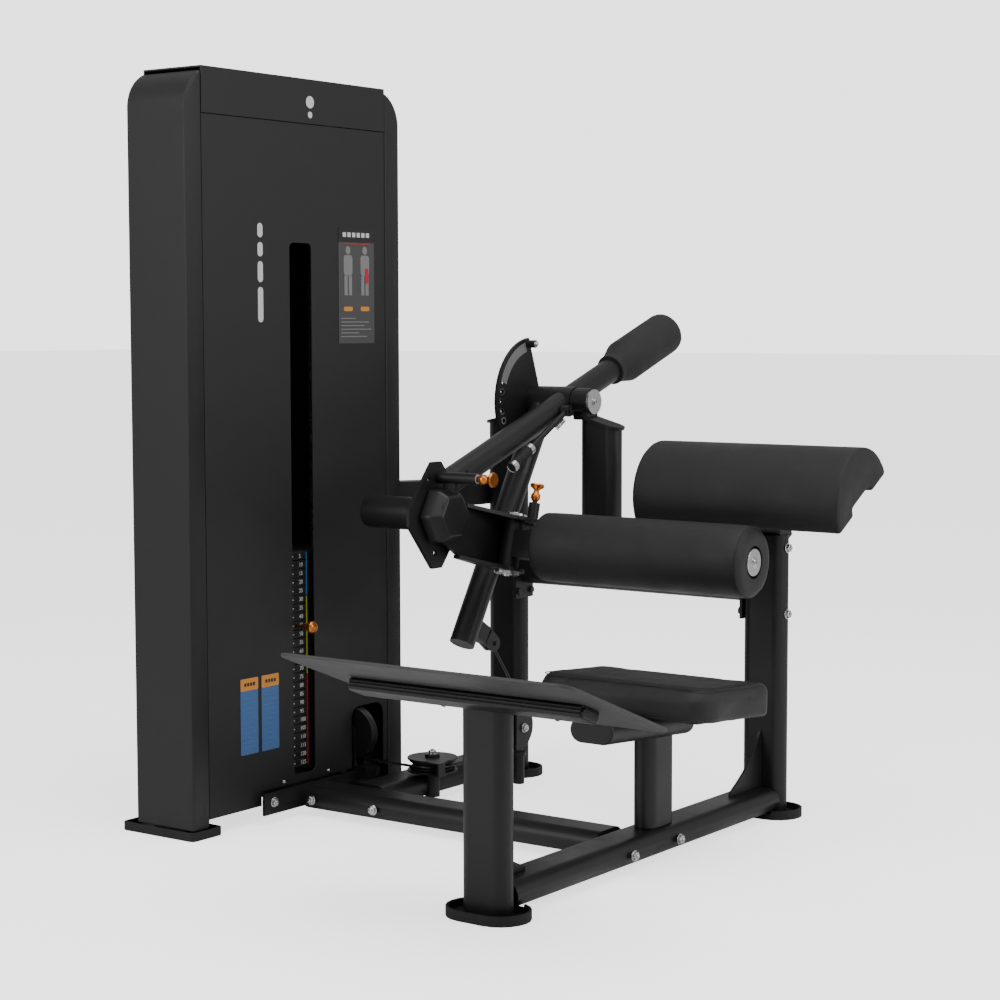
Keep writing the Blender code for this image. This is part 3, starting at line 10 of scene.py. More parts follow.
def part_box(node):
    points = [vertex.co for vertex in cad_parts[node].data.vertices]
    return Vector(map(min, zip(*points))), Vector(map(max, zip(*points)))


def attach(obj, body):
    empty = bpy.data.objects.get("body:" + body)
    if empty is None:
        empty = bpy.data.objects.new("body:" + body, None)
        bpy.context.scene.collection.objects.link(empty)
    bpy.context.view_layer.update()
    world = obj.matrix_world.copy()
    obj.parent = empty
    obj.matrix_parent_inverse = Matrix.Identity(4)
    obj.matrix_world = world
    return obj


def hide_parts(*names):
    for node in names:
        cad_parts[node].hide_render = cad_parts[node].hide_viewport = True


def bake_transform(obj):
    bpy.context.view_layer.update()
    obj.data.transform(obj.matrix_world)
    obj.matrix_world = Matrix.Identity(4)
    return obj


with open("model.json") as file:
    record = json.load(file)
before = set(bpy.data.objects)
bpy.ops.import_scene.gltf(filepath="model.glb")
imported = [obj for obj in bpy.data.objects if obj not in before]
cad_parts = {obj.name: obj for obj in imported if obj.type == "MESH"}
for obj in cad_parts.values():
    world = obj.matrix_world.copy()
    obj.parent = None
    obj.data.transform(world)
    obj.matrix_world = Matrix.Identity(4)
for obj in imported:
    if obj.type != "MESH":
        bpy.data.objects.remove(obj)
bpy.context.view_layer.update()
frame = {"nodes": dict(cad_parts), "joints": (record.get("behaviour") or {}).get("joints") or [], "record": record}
NODES = frame["nodes"]
BODY_OF = {node: body for body, nodes in frame["record"]["behaviour"]["bodies"].items() for node in nodes}
JOINTS = {joint["name"]: joint for joint in frame["joints"]}
DEG = math.pi / 180
UP = Vector((0, 0, 1))
NEAR_WAY = (0, -1, 0)        # the way out of a face on the side the user sits
LOOK_LEVEL = 0.32            # the Principled shader's specular level on every finish
SMOOTH_ANGLE = 35.0          # degrees: a wider corner than this stays sharp
MERGE_GAP = 0.00002          # metres: nearer corners than this are one
FLAT_ANGLE = 0.5             # degrees: triangles nearer than this to one plane are one face
MARK_THICK = 0.0006          # metres: a printed mark's thickness
STACK_X = -0.1885            # metres: the middle of the stack's pins, rods and cable
STACK_CABLE_Y = 0.5475
CABLE_RADIUS = 0.0030
THREAD_RADIUS = 0.0010
ROLLER_START = 0.086         # metres from the swing pin to the roller's inner end
ROLLER_LENGTH = 0.510


# ---------------------------------------------------------------- shader node groups

def new_group(name, inputs, outputs):
    tree = bpy.data.node_groups.new(name, "ShaderNodeTree")
    for label, value in inputs:
        socket = tree.interface.new_socket(label, in_out="INPUT", socket_type="NodeSocketFloat")
        socket.default_value = value
    for label, kind in outputs:
        tree.interface.new_socket(label, in_out="OUTPUT", socket_type=kind)
    return tree, tree.nodes.new("NodeGroupInput"), tree.nodes.new("NodeGroupOutput")


def object_noise(tree, scale, detail, roughness=0.5):
    """A noise on Object coordinates. Scale may be a number or another node's output."""
    place = tree.nodes.new("ShaderNodeTexCoord")
    noise = tree.nodes.new("ShaderNodeTexNoise")
    noise.inputs["Detail"].default_value = detail
    noise.inputs["Roughness"].default_value = roughness
    tree.links.new(place.outputs["Object"], noise.inputs["Vector"])
    if isinstance(scale, (int, float)):
        noise.inputs["Scale"].default_value = scale
    else:
        tree.links.new(scale, noise.inputs["Scale"])
    return noise.outputs["Fac"]


def ranged(tree, value, low, high, source_low=0.3, source_high=0.7):
    step = tree.nodes.new("ShaderNodeMapRange")
    step.inputs["From Min"].default_value = source_low
    step.inputs["From Max"].default_value = source_high
    for label, limit in (("To Min", low), ("To Max", high)):
        if isinstance(limit, (int, float)):
            step.inputs[label].default_value = limit
        else:
            tree.links.new(limit, step.inputs[label])
    tree.links.new(value, step.inputs["Value"])
    return step.outputs["Result"]


def bumped(tree, height, strength, distance):
    bump = tree.nodes.new("ShaderNodeBump")
    for label, value in (("Strength", strength), ("Distance", distance)):
        if isinstance(value, (int, float)):
            bump.inputs[label].default_value = value
        else:
            tree.links.new(value, bump.inputs[label])
    tree.links.new(height, bump.inputs["Height"])
    return bump.outputs["Normal"]


def orange_peel_group():
    """Sprayed or moulded surfaces: a fine ripple, cloudy gloss and a faint film of dust on top faces."""
    tree, given, out = new_group(
        "orange_peel",
        (("Ripple Scale", 700.0), ("Ripple Strength", 0.12), ("Gloss Low", 0.36), ("Gloss High", 0.5),
         ("Dust", 0.05)),
        (("Dust Mask", "NodeSocketFloat"), ("Roughness", "NodeSocketFloat"), ("Normal", "NodeSocketVector")))
    ripple = object_noise(tree, given.outputs["Ripple Scale"], 2.0)
    cloud = object_noise(tree, 9.0, 4.0, 0.6)
    rough = ranged(tree, cloud, given.outputs["Gloss Low"], given.outputs["Gloss High"])
    speck = ranged(tree, object_noise(tree, 160.0, 3.0, 0.7), 0.0, 1.0, 0.45, 0.75)
    facing = tree.nodes.new("ShaderNodeNewGeometry")
    split = tree.nodes.new("ShaderNodeSeparateXYZ")
    tree.links.new(facing.outputs["Normal"], split.inputs["Vector"])
    upward = ranged(tree, split.outputs["Z"], 0.0, 1.0, 0.2, 1.0)
    dust = tree.nodes.new("ShaderNodeMath")
    dust.operation = "MULTIPLY"
    tree.links.new(speck, dust.inputs[0])
    tree.links.new(upward, dust.inputs[1])
    share = tree.nodes.new("ShaderNodeMath")
    share.operation = "MULTIPLY"
    tree.links.new(dust.outputs["Value"], share.inputs[0])
    tree.links.new(given.outputs["Dust"], share.inputs[1])
    tree.links.new(share.outputs["Value"], out.inputs["Dust Mask"])
    tree.links.new(rough, out.inputs["Roughness"])
    tree.links.new(bumped(tree, ripple, given.outputs["Ripple Strength"], 0.0004), out.inputs["Normal"])
    return tree


def hide_grain_group():
    """Leatherette: rounded pebbles between fine creases painted darker as shade, with a slow variation of gloss.
    """
    tree, given, out = new_group(
        "hide_grain", (("Pebble Scale", 620.0), ("Depth", 0.5), ("Gloss Low", 0.42), ("Gloss High", 0.56)),
        (("Crease Shade", "NodeSocketFloat"), ("Roughness", "NodeSocketFloat"), ("Normal", "NodeSocketVector")))
    place = tree.nodes.new("ShaderNodeTexCoord")
    cells = tree.nodes.new("ShaderNodeTexVoronoi")
    cells.feature = "DISTANCE_TO_EDGE"
    tree.links.new(place.outputs["Object"], cells.inputs["Vector"])
    tree.links.new(given.outputs["Pebble Scale"], cells.inputs["Scale"])
    pebble = ranged(tree, cells.outputs["Distance"], 0.0, 1.0, 0.0, 0.22)
    cloud = object_noise(tree, 14.0, 4.0, 0.6)
    # The crease mask darkens the colour between the pebbles: painted shade in the creases.
    tree.links.new(pebble, out.inputs["Crease Shade"])
    tree.links.new(ranged(tree, cloud, given.outputs["Gloss Low"], given.outputs["Gloss High"]),
                   out.inputs["Roughness"])
    tree.links.new(bumped(tree, pebble, given.outputs["Depth"], 0.0003), out.inputs["Normal"])
    return tree


def brushed_group():
    """Turned or brushed metal: streaks along one axis and small rubbed spots."""
    tree, given, out = new_group(
        "brushed", (("Streak Scale", 260.0), ("Gloss Low", 0.16), ("Gloss High", 0.34), ("Depth", 0.15)),
        (("Rub", "NodeSocketFloat"), ("Roughness", "NodeSocketFloat"), ("Normal", "NodeSocketVector")))
    place = tree.nodes.new("ShaderNodeTexCoord")
    stretch = tree.nodes.new("ShaderNodeMapping")
    stretch.inputs["Scale"].default_value = (1.0, 1.0, 12.0)
    tree.links.new(place.outputs["Object"], stretch.inputs["Vector"])
    streak = tree.nodes.new("ShaderNodeTexNoise")
    streak.inputs["Detail"].default_value = 3.0
    tree.links.new(stretch.outputs["Vector"], streak.inputs["Vector"])
    tree.links.new(given.outputs["Streak Scale"], streak.inputs["Scale"])
    sheen = ranged(tree, streak.outputs["Fac"], given.outputs["Gloss Low"], given.outputs["Gloss High"])
    tree.links.new(sheen, out.inputs["Roughness"])
    tree.links.new(ranged(tree, object_noise(tree, 60.0, 3.0), 0.0, 1.0), out.inputs["Rub"])
    tree.links.new(bumped(tree, streak.outputs["Fac"], given.outputs["Depth"], 0.0001), out.inputs["Normal"])
    return tree


GROUPS = {"orange_peel": orange_peel_group(), "hide_grain": hide_grain_group(), "brushed": brushed_group()}
GROUP_MASK = {"orange_peel": "Dust Mask", "hide_grain": "Crease Shade", "brushed": "Rub"}


def finish_look(name, group, base, second, values, metallic=0.0):
    """A material: a Principled shader fed by one shared group, mixing two colours by the group's mask.

    A colour that is the same all over is set on the shader itself.
    """
    made = bpy.data.materials.new(name)
    made.use_nodes = True
    tree = made.node_tree
    shader = tree.nodes["Principled BSDF"]
    shader.inputs["Metallic"].default_value = metallic
    shader.inputs["Specular IOR Level"].default_value = LOOK_LEVEL
    node = tree.nodes.new("ShaderNodeGroup")
    node.node_tree = GROUPS[group]
    for label, value in values.items():
        node.inputs[label].default_value = value
    if base == second:
        shader.inputs["Base Color"].default_value = (*base, 1.0)
    else:
        mix = tree.nodes.new("ShaderNodeMix")
        mix.data_type = "RGBA"
        mix.inputs["A"].default_value = (*base, 1.0)
        mix.inputs["B"].default_value = (*second, 1.0)
        tree.links.new(node.outputs[GROUP_MASK[group]], mix.inputs["Factor"])
        tree.links.new(mix.outputs["Result"], shader.inputs["Base Color"])
    tree.links.new(node.outputs["Roughness"], shader.inputs["Roughness"])
    tree.links.new(node.outputs["Normal"], shader.inputs["Normal"])
    return made


def grey(value, tint=0.0):
    return (value, value, value * (1 + tint))


def surface(low, high, **more):
    """A group's gloss range and its other inputs, whose names have a space for each underscore."""
    values = {"Gloss Low": low, "Gloss High": high}
    values.update({label.replace("_", " "): value for label, value in more.items()})
    return values


FINISHES = {
    "powder_coat": ("orange_peel", grey(0.0075, 0.05), grey(0.06), surface(0.34, 0.46, Ripple_Strength=0.22)),
    "panel_black": ("orange_peel", grey(0.0100, 0.02), grey(0.06),
                    surface(0.44, 0.54, Ripple_Scale=900.0, Ripple_Strength=0.15)),
    "foot_sheet": ("orange_peel", grey(0.040), grey(0.12),
                   surface(0.48, 0.6, Ripple_Scale=420.0, Ripple_Strength=0.5)),
    "rubber": ("orange_peel", grey(0.0095), grey(0.08),
               surface(0.62, 0.78, Ripple_Scale=320.0, Ripple_Strength=0.4, Dust=0.12)),
    "nylon": ("orange_peel", grey(0.008), grey(0.06),
              surface(0.3, 0.42, Ripple_Scale=500.0, Ripple_Strength=0.1)),
    "stack_iron": ("orange_peel", grey(0.011), grey(0.06),
                   surface(0.45, 0.6, Ripple_Scale=380.0, Ripple_Strength=0.35)),
    # Near-black discs of painted shade that stand in for the stack's pin holes.
    "painted_hole_shade": ("orange_peel", grey(0.002), grey(0.004), {"Dust": 0.0}),
    # hide_grain finishes: the first colour is painted shade in the creases, the second the pebble tops.
    "leatherette": ("hide_grain", grey(0.0065), grey(0.0095), {}),
    "thread": ("hide_grain", grey(0.005), grey(0.012), {"Pebble Scale": 1500.0, "Depth": 0.8}),
    "foam_grip": ("hide_grain", grey(0.013), grey(0.019), surface(0.6, 0.75, Pebble_Scale=900.0, Depth=0.7)),
    "bright_steel": ("brushed", grey(0.52), grey(0.62), {}, 1.0),
    "bolt_zinc": ("brushed", grey(0.50), grey(0.62), surface(0.14, 0.28, Streak_Scale=500.0), 1.0),
    "anodised_orange": ("brushed", (0.55, 0.16, 0.03), (0.62, 0.20, 0.04), surface(0.2, 0.34), 0.9),
}
PRINT_COLOURS = {
    "print_white": grey(0.50), "print_grey": grey(0.05), "print_dim": grey(0.16),
    "print_blue": (0.045, 0.10, 0.24), "print_orange": (0.50, 0.20, 0.03), "print_ink": grey(0.012),
    "print_red": (0.36, 0.010, 0.03), "print_sky": (0.02, 0.16, 0.40), "print_lime": (0.34, 0.37, 0.02),
    "scale_plate": grey(0.14), "pale_nylon": grey(0.30),
}
PRINT_SURFACE = surface(0.42, 0.5, Ripple_Scale=1200.0, Ripple_Strength=0.05, Dust=0.0)
LOOK = {name: finish_look(name, *finish) for name, finish in FINISHES.items()}
for tone, colour in PRINT_COLOURS.items():
    LOOK[tone] = finish_look(tone, "orange_peel", colour, colour, PRINT_SURFACE)


# ---------------------------------------------------------------- mesh helpers

def add_piece(name, mesh, look, body, smooth=SMOOTH_ANGLE):
    piece = bpy.data.objects.new(name, mesh)
    bpy.context.scene.collection.objects.link(piece)
    mesh.materials.clear()
    mesh.materials.append(LOOK[look])
    if smooth:
        mesh.shade_smooth()
        mesh.set_sharp_from_angle(angle=smooth * DEG)
    if body:
        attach(piece, body)
    return piece


def baked(name, item):
    """The item's evaluated shape as a plain mesh, and the item removed."""
    bpy.context.view_layer.update()
    graph = bpy.context.evaluated_depsgraph_get()
    mesh = bpy.data.meshes.new_from_object(item.evaluated_get(graph), depsgraph=graph)
    mesh.name = name
    mesh.transform(item.matrix_world)
    bpy.data.objects.remove(item)
    return mesh


def working(name, mesh):
    item = bpy.data.objects.new(name, mesh)
    bpy.context.scene.collection.objects.link(item)
    return item


def mesh_of(name, work, recalc=True):
    if recalc:
        bmesh.ops.recalc_face_normals(work, faces=work.faces)
    mesh = bpy.data.meshes.new(name)
    work.to_mesh(mesh)
    work.free()
    return mesh


def softened(mesh, width, segments=2, angle=38.0):
    mesh.shade_smooth()
    item = working("softening", mesh)
    bevel = item.modifiers.new("edge", "BEVEL")
    bevel.width = width
    bevel.segments = segments
    bevel.limit_method = "ANGLE"
    bevel.angle_limit = angle * DEG
    even = item.modifiers.new("even", "WEIGHTED_NORMAL")
    even.weight = 100
    return baked("softened", item)


def copy_of_node(node):
    """The node's mesh with its loose triangles merged and its flat faces whole again."""
    work = bmesh.new()
    work.from_mesh(NODES[node].data)
    bmesh.ops.remove_doubles(work, verts=work.verts, dist=MERGE_GAP)
    bmesh.ops.dissolve_limit(work, angle_limit=FLAT_ANGLE * DEG, verts=work.verts, edges=work.edges)
    return mesh_of(node + "_skin", work, recalc=False)


def refinish(node, look, width):
    """A CAD node shown with rolled edges in place of knife-sharp ones."""
    mesh = softened(copy_of_node(node), width) if width else copy_of_node(node)
    piece = add_piece(node + "_finish", mesh, look, BODY_OF[node], 0.0 if width else SMOOTH_ANGLE)
    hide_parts(node)
    return piece


def frame_from(centre, x_axis, y_axis):
    across = Vector(x_axis).normalized()
    up = Vector(y_axis)
    up = (up - across * up.dot(across)).normalized()
    matrix = Matrix((across, up, across.cross(up))).transposed().to_4x4()
    matrix.translation = Vector(centre)
    return matrix


def along_frame(start, direction):
    turn = Vector(direction).to_track_quat("Z", "Y").to_matrix().to_4x4()
    turn.translation = Vector(start)
    return turn


def lathe(profile, start, direction, steps=64):
    """A closed turned mesh. The profile is (radius, distance) from one end of the axis to the other."""
    work = bmesh.new()
    rings = []
    for radius, distance in profile:
        if radius < 1e-6:
            rings.append([work.verts.new((0, 0, distance))])
            continue
        rings.append([work.verts.new((radius * math.cos(step * 2 * math.pi / steps),
                                      radius * math.sin(step * 2 * math.pi / steps), distance))
                      for step in range(steps)])
    for lower, upper in zip(rings, rings[1:]):
        for step in range(steps):
            after = (step + 1) % steps
            if len(lower) == 1:
                work.faces.new((lower[0], upper[after], upper[step]))
            elif len(upper) == 1:
                work.faces.new((lower[step], lower[after], upper[0]))
            else:
                work.faces.new((lower[step], lower[after], upper[after], upper[step]))
    bmesh.ops.transform(work, matrix=along_frame(start, direction), verts=work.verts)
    return mesh_of("lathe", work)


def plate(loop, thickness, matrix, bevel=0.0):
    """A flat plate from one outline, centred on its frame's plane."""
    work = bmesh.new()
    low = [work.verts.new((x, y, -thickness / 2)) for x, y in loop]
    high = [work.verts.new((x, y, thickness / 2)) for x, y in loop]
    work.faces.new(low)
    work.faces.new(high)
    for index in range(len(loop)):
        after = (index + 1) % len(loop)
        work.faces.new((low[index], low[after], high[after], high[index]))
    bmesh.ops.transform(work, matrix=matrix, verts=work.verts)
    mesh = mesh_of("plate", work)
    return softened(mesh, bevel) if bevel else mesh


def merged(meshes):
    work = bmesh.new()
    for mesh in meshes:
        work.from_mesh(mesh)
    return mesh_of("merged", work, recalc=False)


def arc(centre, radius, start, end, steps):
    return [(centre[0] + radius * math.cos((start + (end - start) * step / steps) * DEG),
             centre[1] + radius * math.sin((start + (end - start) * step / steps) * DEG))
            for step in range(steps + 1)]


def rounded(width, height, radius, steps=6, middle=(0.0, 0.0)):
    points = []
    for index, (sx, sy) in enumerate(((1, 1), (-1, 1), (-1, -1), (1, -1))):
        corner = (middle[0] + sx * (width / 2 - radius), middle[1] + sy * (height / 2 - radius))
        points += arc(corner, radius, index * 90, index * 90 + 90, steps)
    return points


def tube_along(points, radius, sides=12, cyclic=False):
    curve = bpy.data.curves.new("path", "CURVE")
    curve.dimensions = "3D"
    curve.bevel_depth = radius
    curve.bevel_resolution = max(1, sides // 4 - 1)
    curve.use_fill_caps = not cyclic
    spline = curve.splines.new("POLY")
    spline.points.add(len(points) - 1)
    for target, point in zip(spline.points, points):
        target.co = (*point, 1.0)
    spline.use_cyclic_u = cyclic
    item = working("path", curve)
    return baked("tube", item)


# ---------------------------------------------------------------- geometry node trees

def scatter_tree(name):
    """Puts one copy of a mesh at every point of a carrier mesh, turned to the point's aim and scaled."""
    tree = bpy.data.node_groups.new(name, "GeometryNodeTree")
    tree.interface.new_socket("Geometry", in_out="INPUT", socket_type="NodeSocketGeometry")
    tree.interface.new_socket("Copy", in_out="INPUT", socket_type="NodeSocketObject")
    size = tree.interface.new_socket("Size", in_out="INPUT", socket_type="NodeSocketFloat")
    size.default_value = 1.0
    tree.interface.new_socket("Finish", in_out="INPUT", socket_type="NodeSocketMaterial")
    tree.interface.new_socket("Geometry", in_out="OUTPUT", socket_type="NodeSocketGeometry")
    given = tree.nodes.new("NodeGroupInput")
    out = tree.nodes.new("NodeGroupOutput")
    source = tree.nodes.new("GeometryNodeObjectInfo")
    aim = tree.nodes.new("GeometryNodeInputNamedAttribute")
    aim.data_type = "FLOAT_VECTOR"
    aim.inputs["Name"].default_value = "aim"
    turn = tree.nodes.new("FunctionNodeAlignRotationToVector")
    turn.axis = "Z"
    spread = tree.nodes.new("GeometryNodeInstanceOnPoints")
    real = tree.nodes.new("GeometryNodeRealizeInstances")
    paint = tree.nodes.new("GeometryNodeSetMaterial")
    link = tree.links.new
    link(given.outputs["Copy"], source.inputs["Object"])
    link(aim.outputs["Attribute"], turn.inputs["Vector"])
    link(given.outputs["Geometry"], spread.inputs["Points"])
    link(source.outputs["Geometry"], spread.inputs["Instance"])
    link(turn.outputs["Rotation"], spread.inputs["Rotation"])
    link(given.outputs["Size"], spread.inputs["Scale"])
    link(spread.outputs["Instances"], real.inputs["Geometry"])
    link(real.outputs["Geometry"], paint.inputs["Geometry"])
    link(given.outputs["Finish"], paint.inputs["Material"])
    link(paint.outputs["Geometry"], out.inputs["Geometry"])
    return tree


SCATTER = scatter_tree("scatter_copies")


def scatter(name, pattern, places, look, body, size=1.0):
    """places is a list of (point, direction). The pattern mesh points along +Z from its origin."""
    carrier = bpy.data.meshes.new("places")
    carrier.from_pydata([tuple(point) for point, aim in places], [], [])
    attribute = carrier.attributes.new("aim", "FLOAT_VECTOR", "POINT")
    for spot, (_, aim) in zip(attribute.data, places):
        spot.vector = Vector(aim).normalized()
    item = working(name + "_places", carrier)
    copy = working(name + "_copy", pattern)
    modifier = item.modifiers.new("scatter", "NODES")
    modifier.node_group = SCATTER
    keys = {socket.name: socket.identifier for socket in SCATTER.interface.items_tree
            if socket.in_out == "INPUT"}
    modifier[keys["Copy"]] = copy
    modifier[keys["Size"]] = size
    modifier[keys["Finish"]] = LOOK[look]
    mesh = baked(name, item)
    bpy.data.objects.remove(copy)
    return add_piece(name, mesh, look, body)


def bolt_pattern():
    """A washer, a hexagon head with a chamfered crown and the tip of the thread, 17 mm across flats."""
    washer = lathe([(0.0, 0.0), (0.0108, 0.0), (0.0108, 0.0012), (0.0100, 0.0016), (0.0, 0.0016)],
                   (0, 0, 0), UP, 32)
    head = lathe([(0.0, 0.0016), (0.0094, 0.0016), (0.0094, 0.0066), (0.0078, 0.0078), (0.0, 0.0078)],
                 (0, 0, 0), UP, 6)
    crown = lathe([(0.0, 0.0078), (0.0042, 0.0078), (0.0042, 0.0100), (0.0034, 0.0106), (0.0, 0.0106)],
                  (0, 0, 0), UP, 20)
    return merged([washer, softened(head, 0.0004, 1), crown])


def button_pattern():
    """A low domed screw head with a socket."""
    return lathe([(0.0, 0.0), (0.0048, 0.0), (0.0046, 0.0012), (0.0034, 0.0024), (0.0018, 0.0027),
                  (0.0018, 0.0016), (0.0, 0.0016)], (0, 0, 0), UP, 24)


# ---------------------------------------------------------------- frame

def painted_steel():
    fine = 0.0012
    for node in ("base_rail_cross", "base_rail_long", "base_rail_rear", "bridge_beam", "cable_clevis",
                 "carriage", "end_tube", "floor_pulley_housing", "front_post", "back_post", "lever_arm",
                 "lock_sector", "low_pulley_fork", "main_arm", "pivot_post", "pivot_stub_post",
                 "post_pulley_bracket", "release_lever", "seat_post", "seat_tube", "tower_frame",
                 "tower_link_beam", "roller_arm"):
        refinish(node, "powder_coat", fine)
    for node in ("tower_back_panel", "tower_front_panel"):
        refinish(node, "panel_black", 0.0006)
    for node in ("foot_back", "foot_front", "foot_pivot", "tower_foot_left", "tower_foot_right"):
        refinish(node, "rubber", 0.0016)
    for node in ("guide_rods", "pivot_axle", "swing_pin", "selector_rod", "roller_end_cap"):
        refinish(node, "bright_steel", 0.0008)
    for node in ("low_pulley", "floor_pulley", "post_pulley", "top_pulley_left", "top_pulley_right"):
        refinish(node, "nylon", 0.0006)
    refinish("cable_run", "nylon", 0.0)
    for node in ("lock_pull_pin", "swing_pull_pin", "selector_pin"):
        refinish(node, "anodised_orange", 0.0)
    for node in ("resting_plates", "lifted_plates", "head_plate"):
        refinish(node, "stack_iron", 0.0006)


def frame_bolts():
    """Bright hexagon bolts through the rails, the posts and the foot plate."""
    left = (-1, 0, 0)
    rail_z = 0.038
    places = [((x, -0.4114, rail_z), NEAR_WAY) for x in (-0.245, -0.075)]
    places += [((-0.2275, y, rail_z), left) for y in (0.425, 0.254)]
    places += [((-0.316, 0.4540, 0.046), NEAR_WAY)]
    places += [((0.375, -0.4055, z), NEAR_WAY) for z in (0.441, 0.584)]
    flange_x = 0.067
    under_flange = -0.0115
    down = plate_direction(0, 0, -1)
    places += [(plate_point(flange_x, y, under_flange), down) for y in (-0.147, 0.104)]
    places += [((0.305, 0.2370, 0.1353), NEAR_WAY), ((0.0463, 0.3053, 0.1090), (0, 0, 1))]
    scatter("frame_bolts", bolt_pattern(), places, "bolt_zinc", "base")


def plate_frame():
    """The foot plate's own frame: x down its slope, y across it and z out of its tread."""
    box_low, box_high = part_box("foot_plate")
    tilt = 21.1 * DEG
    return frame_from((box_low + box_high) / 2, (math.cos(tilt), 0, -math.sin(tilt)), (0, 1, 0))


def plate_point(x, y, z):
    return plate_frame() @ Vector((x, y, z))


def plate_direction(x, y, z):
    return plate_frame().to_3x3() @ Vector((x, y, z))


def foot_plate():
    """Flat sheet with rounded corners, a ribbed tread on top and a grooved rail under its middle."""
    sheet = plate(rounded(0.346, 0.638, 0.030, 8), 0.006, plate_frame(), 0.0014)
    piece = add_piece("foot_plate_sheet", sheet, "foot_sheet", "base")
    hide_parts("foot_plate")
    first_rib = -0.150
    rib_pitch = 0.013
    rib = plate(rounded(0.0035, 0.600, 0.0016, 2), 0.0016, Matrix.Identity(4), 0.0)
    ribs = []
    for index in range(24):
        copy = rib.copy()
        copy.transform(plate_frame() @ Matrix.Translation((first_rib + index * rib_pitch, 0, 0.0035)))
        ribs.append(copy)
    add_piece("foot_plate_tread", merged(ribs), "rubber", "base")
    groove = 0.0022
    half_wide = 0.030
    top = 0.0115
    outline = [(half_wide, top), (-half_wide + 0.004, top), (-half_wide, top - 0.004), (-half_wide, 0.006),
               (-half_wide + groove, 0.0050), (-half_wide + groove, 0.0035), (-half_wide, 0.0025),
               (-half_wide, -0.0010), (-half_wide + groove, -0.0020), (-half_wide + groove, -0.0035),
               (-half_wide, -0.0045), (-half_wide + 0.003, -top + 0.002), (-half_wide + 0.010, -top),
               (half_wide - 0.006, -top), (half_wide, -top + 0.006)]
    half_sheet, gap, half_rail = 0.003, 0.0003, 0.012
    middle = plate_frame() @ Matrix.Translation((0, 0, -half_sheet - gap - half_rail))
    turn = middle @ Matrix.Rotation(90 * DEG, 4, "X")
    length = 0.508
    grooved = plate(outline, length, turn, 0.0006)
    end_plugs = plate(rounded(0.054, 0.019, 0.009, 5), length + 0.008, turn, 0.003)
    rail = add_piece("foot_rail_bar", merged([grooved, end_plugs]), "powder_coat", "base")
    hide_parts("foot_rail")


def counterweight():
    """The foam sleeve at the back of the main arm, with a stepped collar and a rounded end."""
    pivot = Vector(JOINTS["arm_adjust"]["pos_m"])
    slope = 19.65 * DEG
    away = Vector((math.cos(slope), 0, math.sin(slope)))
    profile = [(0.0, 0.2010), (0.0350, 0.2010), (0.0362, 0.2022), (0.0362, 0.2220), (0.0375, 0.2238),
               (0.0500, 0.2600), (0.0512, 0.2640), (0.0512, 0.4500), (0.0500, 0.4570), (0.0465, 0.4605),
               (0.0400, 0.4615), (0.0, 0.4615)]
    sleeve = lathe(profile, pivot, away, 80)
    piece = add_piece("counterweight_sleeve", sleeve, "foam_grip", "arm")
    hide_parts("counterweight")


# ---------------------------------------------------------------- tower

def tower_cover(node, outer_x, side):
    """A folded side cover whose wall rolls over into the top."""
    low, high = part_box(node)
    width = 0.050
    inner_x = outer_x + side * width
    radius = 0.078
    top = 1.585
    wall = 0.003
    past = 0.02
    span = math.degrees(math.acos((radius - width) / radius))
    corner = (outer_x + side * radius, top - radius)

    def bend(curve_radius, steps=16):
        points = []
        for step in range(steps + 1):
            turn = span * step / steps * DEG
            points.append((corner[0] - side * curve_radius * math.cos(turn),
                           corner[1] + curve_radius * math.sin(turn)))
        return points

    plane_y = (low.y + high.y) / 2
    depth = high.y - low.y
    turn = frame_from((0, plane_y, 0), (1, 0, 0), (0, 0, 1))
    outside = [(inner_x, low.z), (outer_x, low.z)] + bend(radius)
    inside = [(inner_x + side * past, low.z - past), (outer_x + side * wall, low.z - past)]
    inside += bend(radius - wall)
    inside.append((inner_x + side * past, inside[-1][1]))
    shell = working("shell", plate(outside, depth, turn, 0.010))
    tool = working("tool", plate(inside, depth - 2 * wall, turn))
    step = shell.modifiers.new("hollow", "BOOLEAN")
    step.object = tool
    step.operation = "DIFFERENCE"
    step.solver = "EXACT"
    mesh = baked("cover", shell)
    bpy.data.objects.remove(tool)
    piece = add_piece(node + "_sheet", mesh, "panel_black", "base", 30.0)
    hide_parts(node)


def tower_head():
    """The header's sheet with its edges rolled."""
    mesh = softened(copy_of_node("tower_header"), 0.0010)
    piece = add_piece("tower_header_sheet", mesh, "panel_black", "base")
    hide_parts("tower_header")


def flat_mark(name, loops, look, y):
    """Printed marks on the tower's front, each outline in (x, z)."""
    turn = frame_from((0, y, 0), (1, 0, 0), (0, 0, 1))
    meshes = [plate(loop, MARK_THICK, turn) for loop in loops]
    return add_piece(name, merged(meshes), look, "base")


def bar(x0, x1, z0, z1):
    return [(x0, z0), (x1, z0), (x1, z1), (x0, z1)]


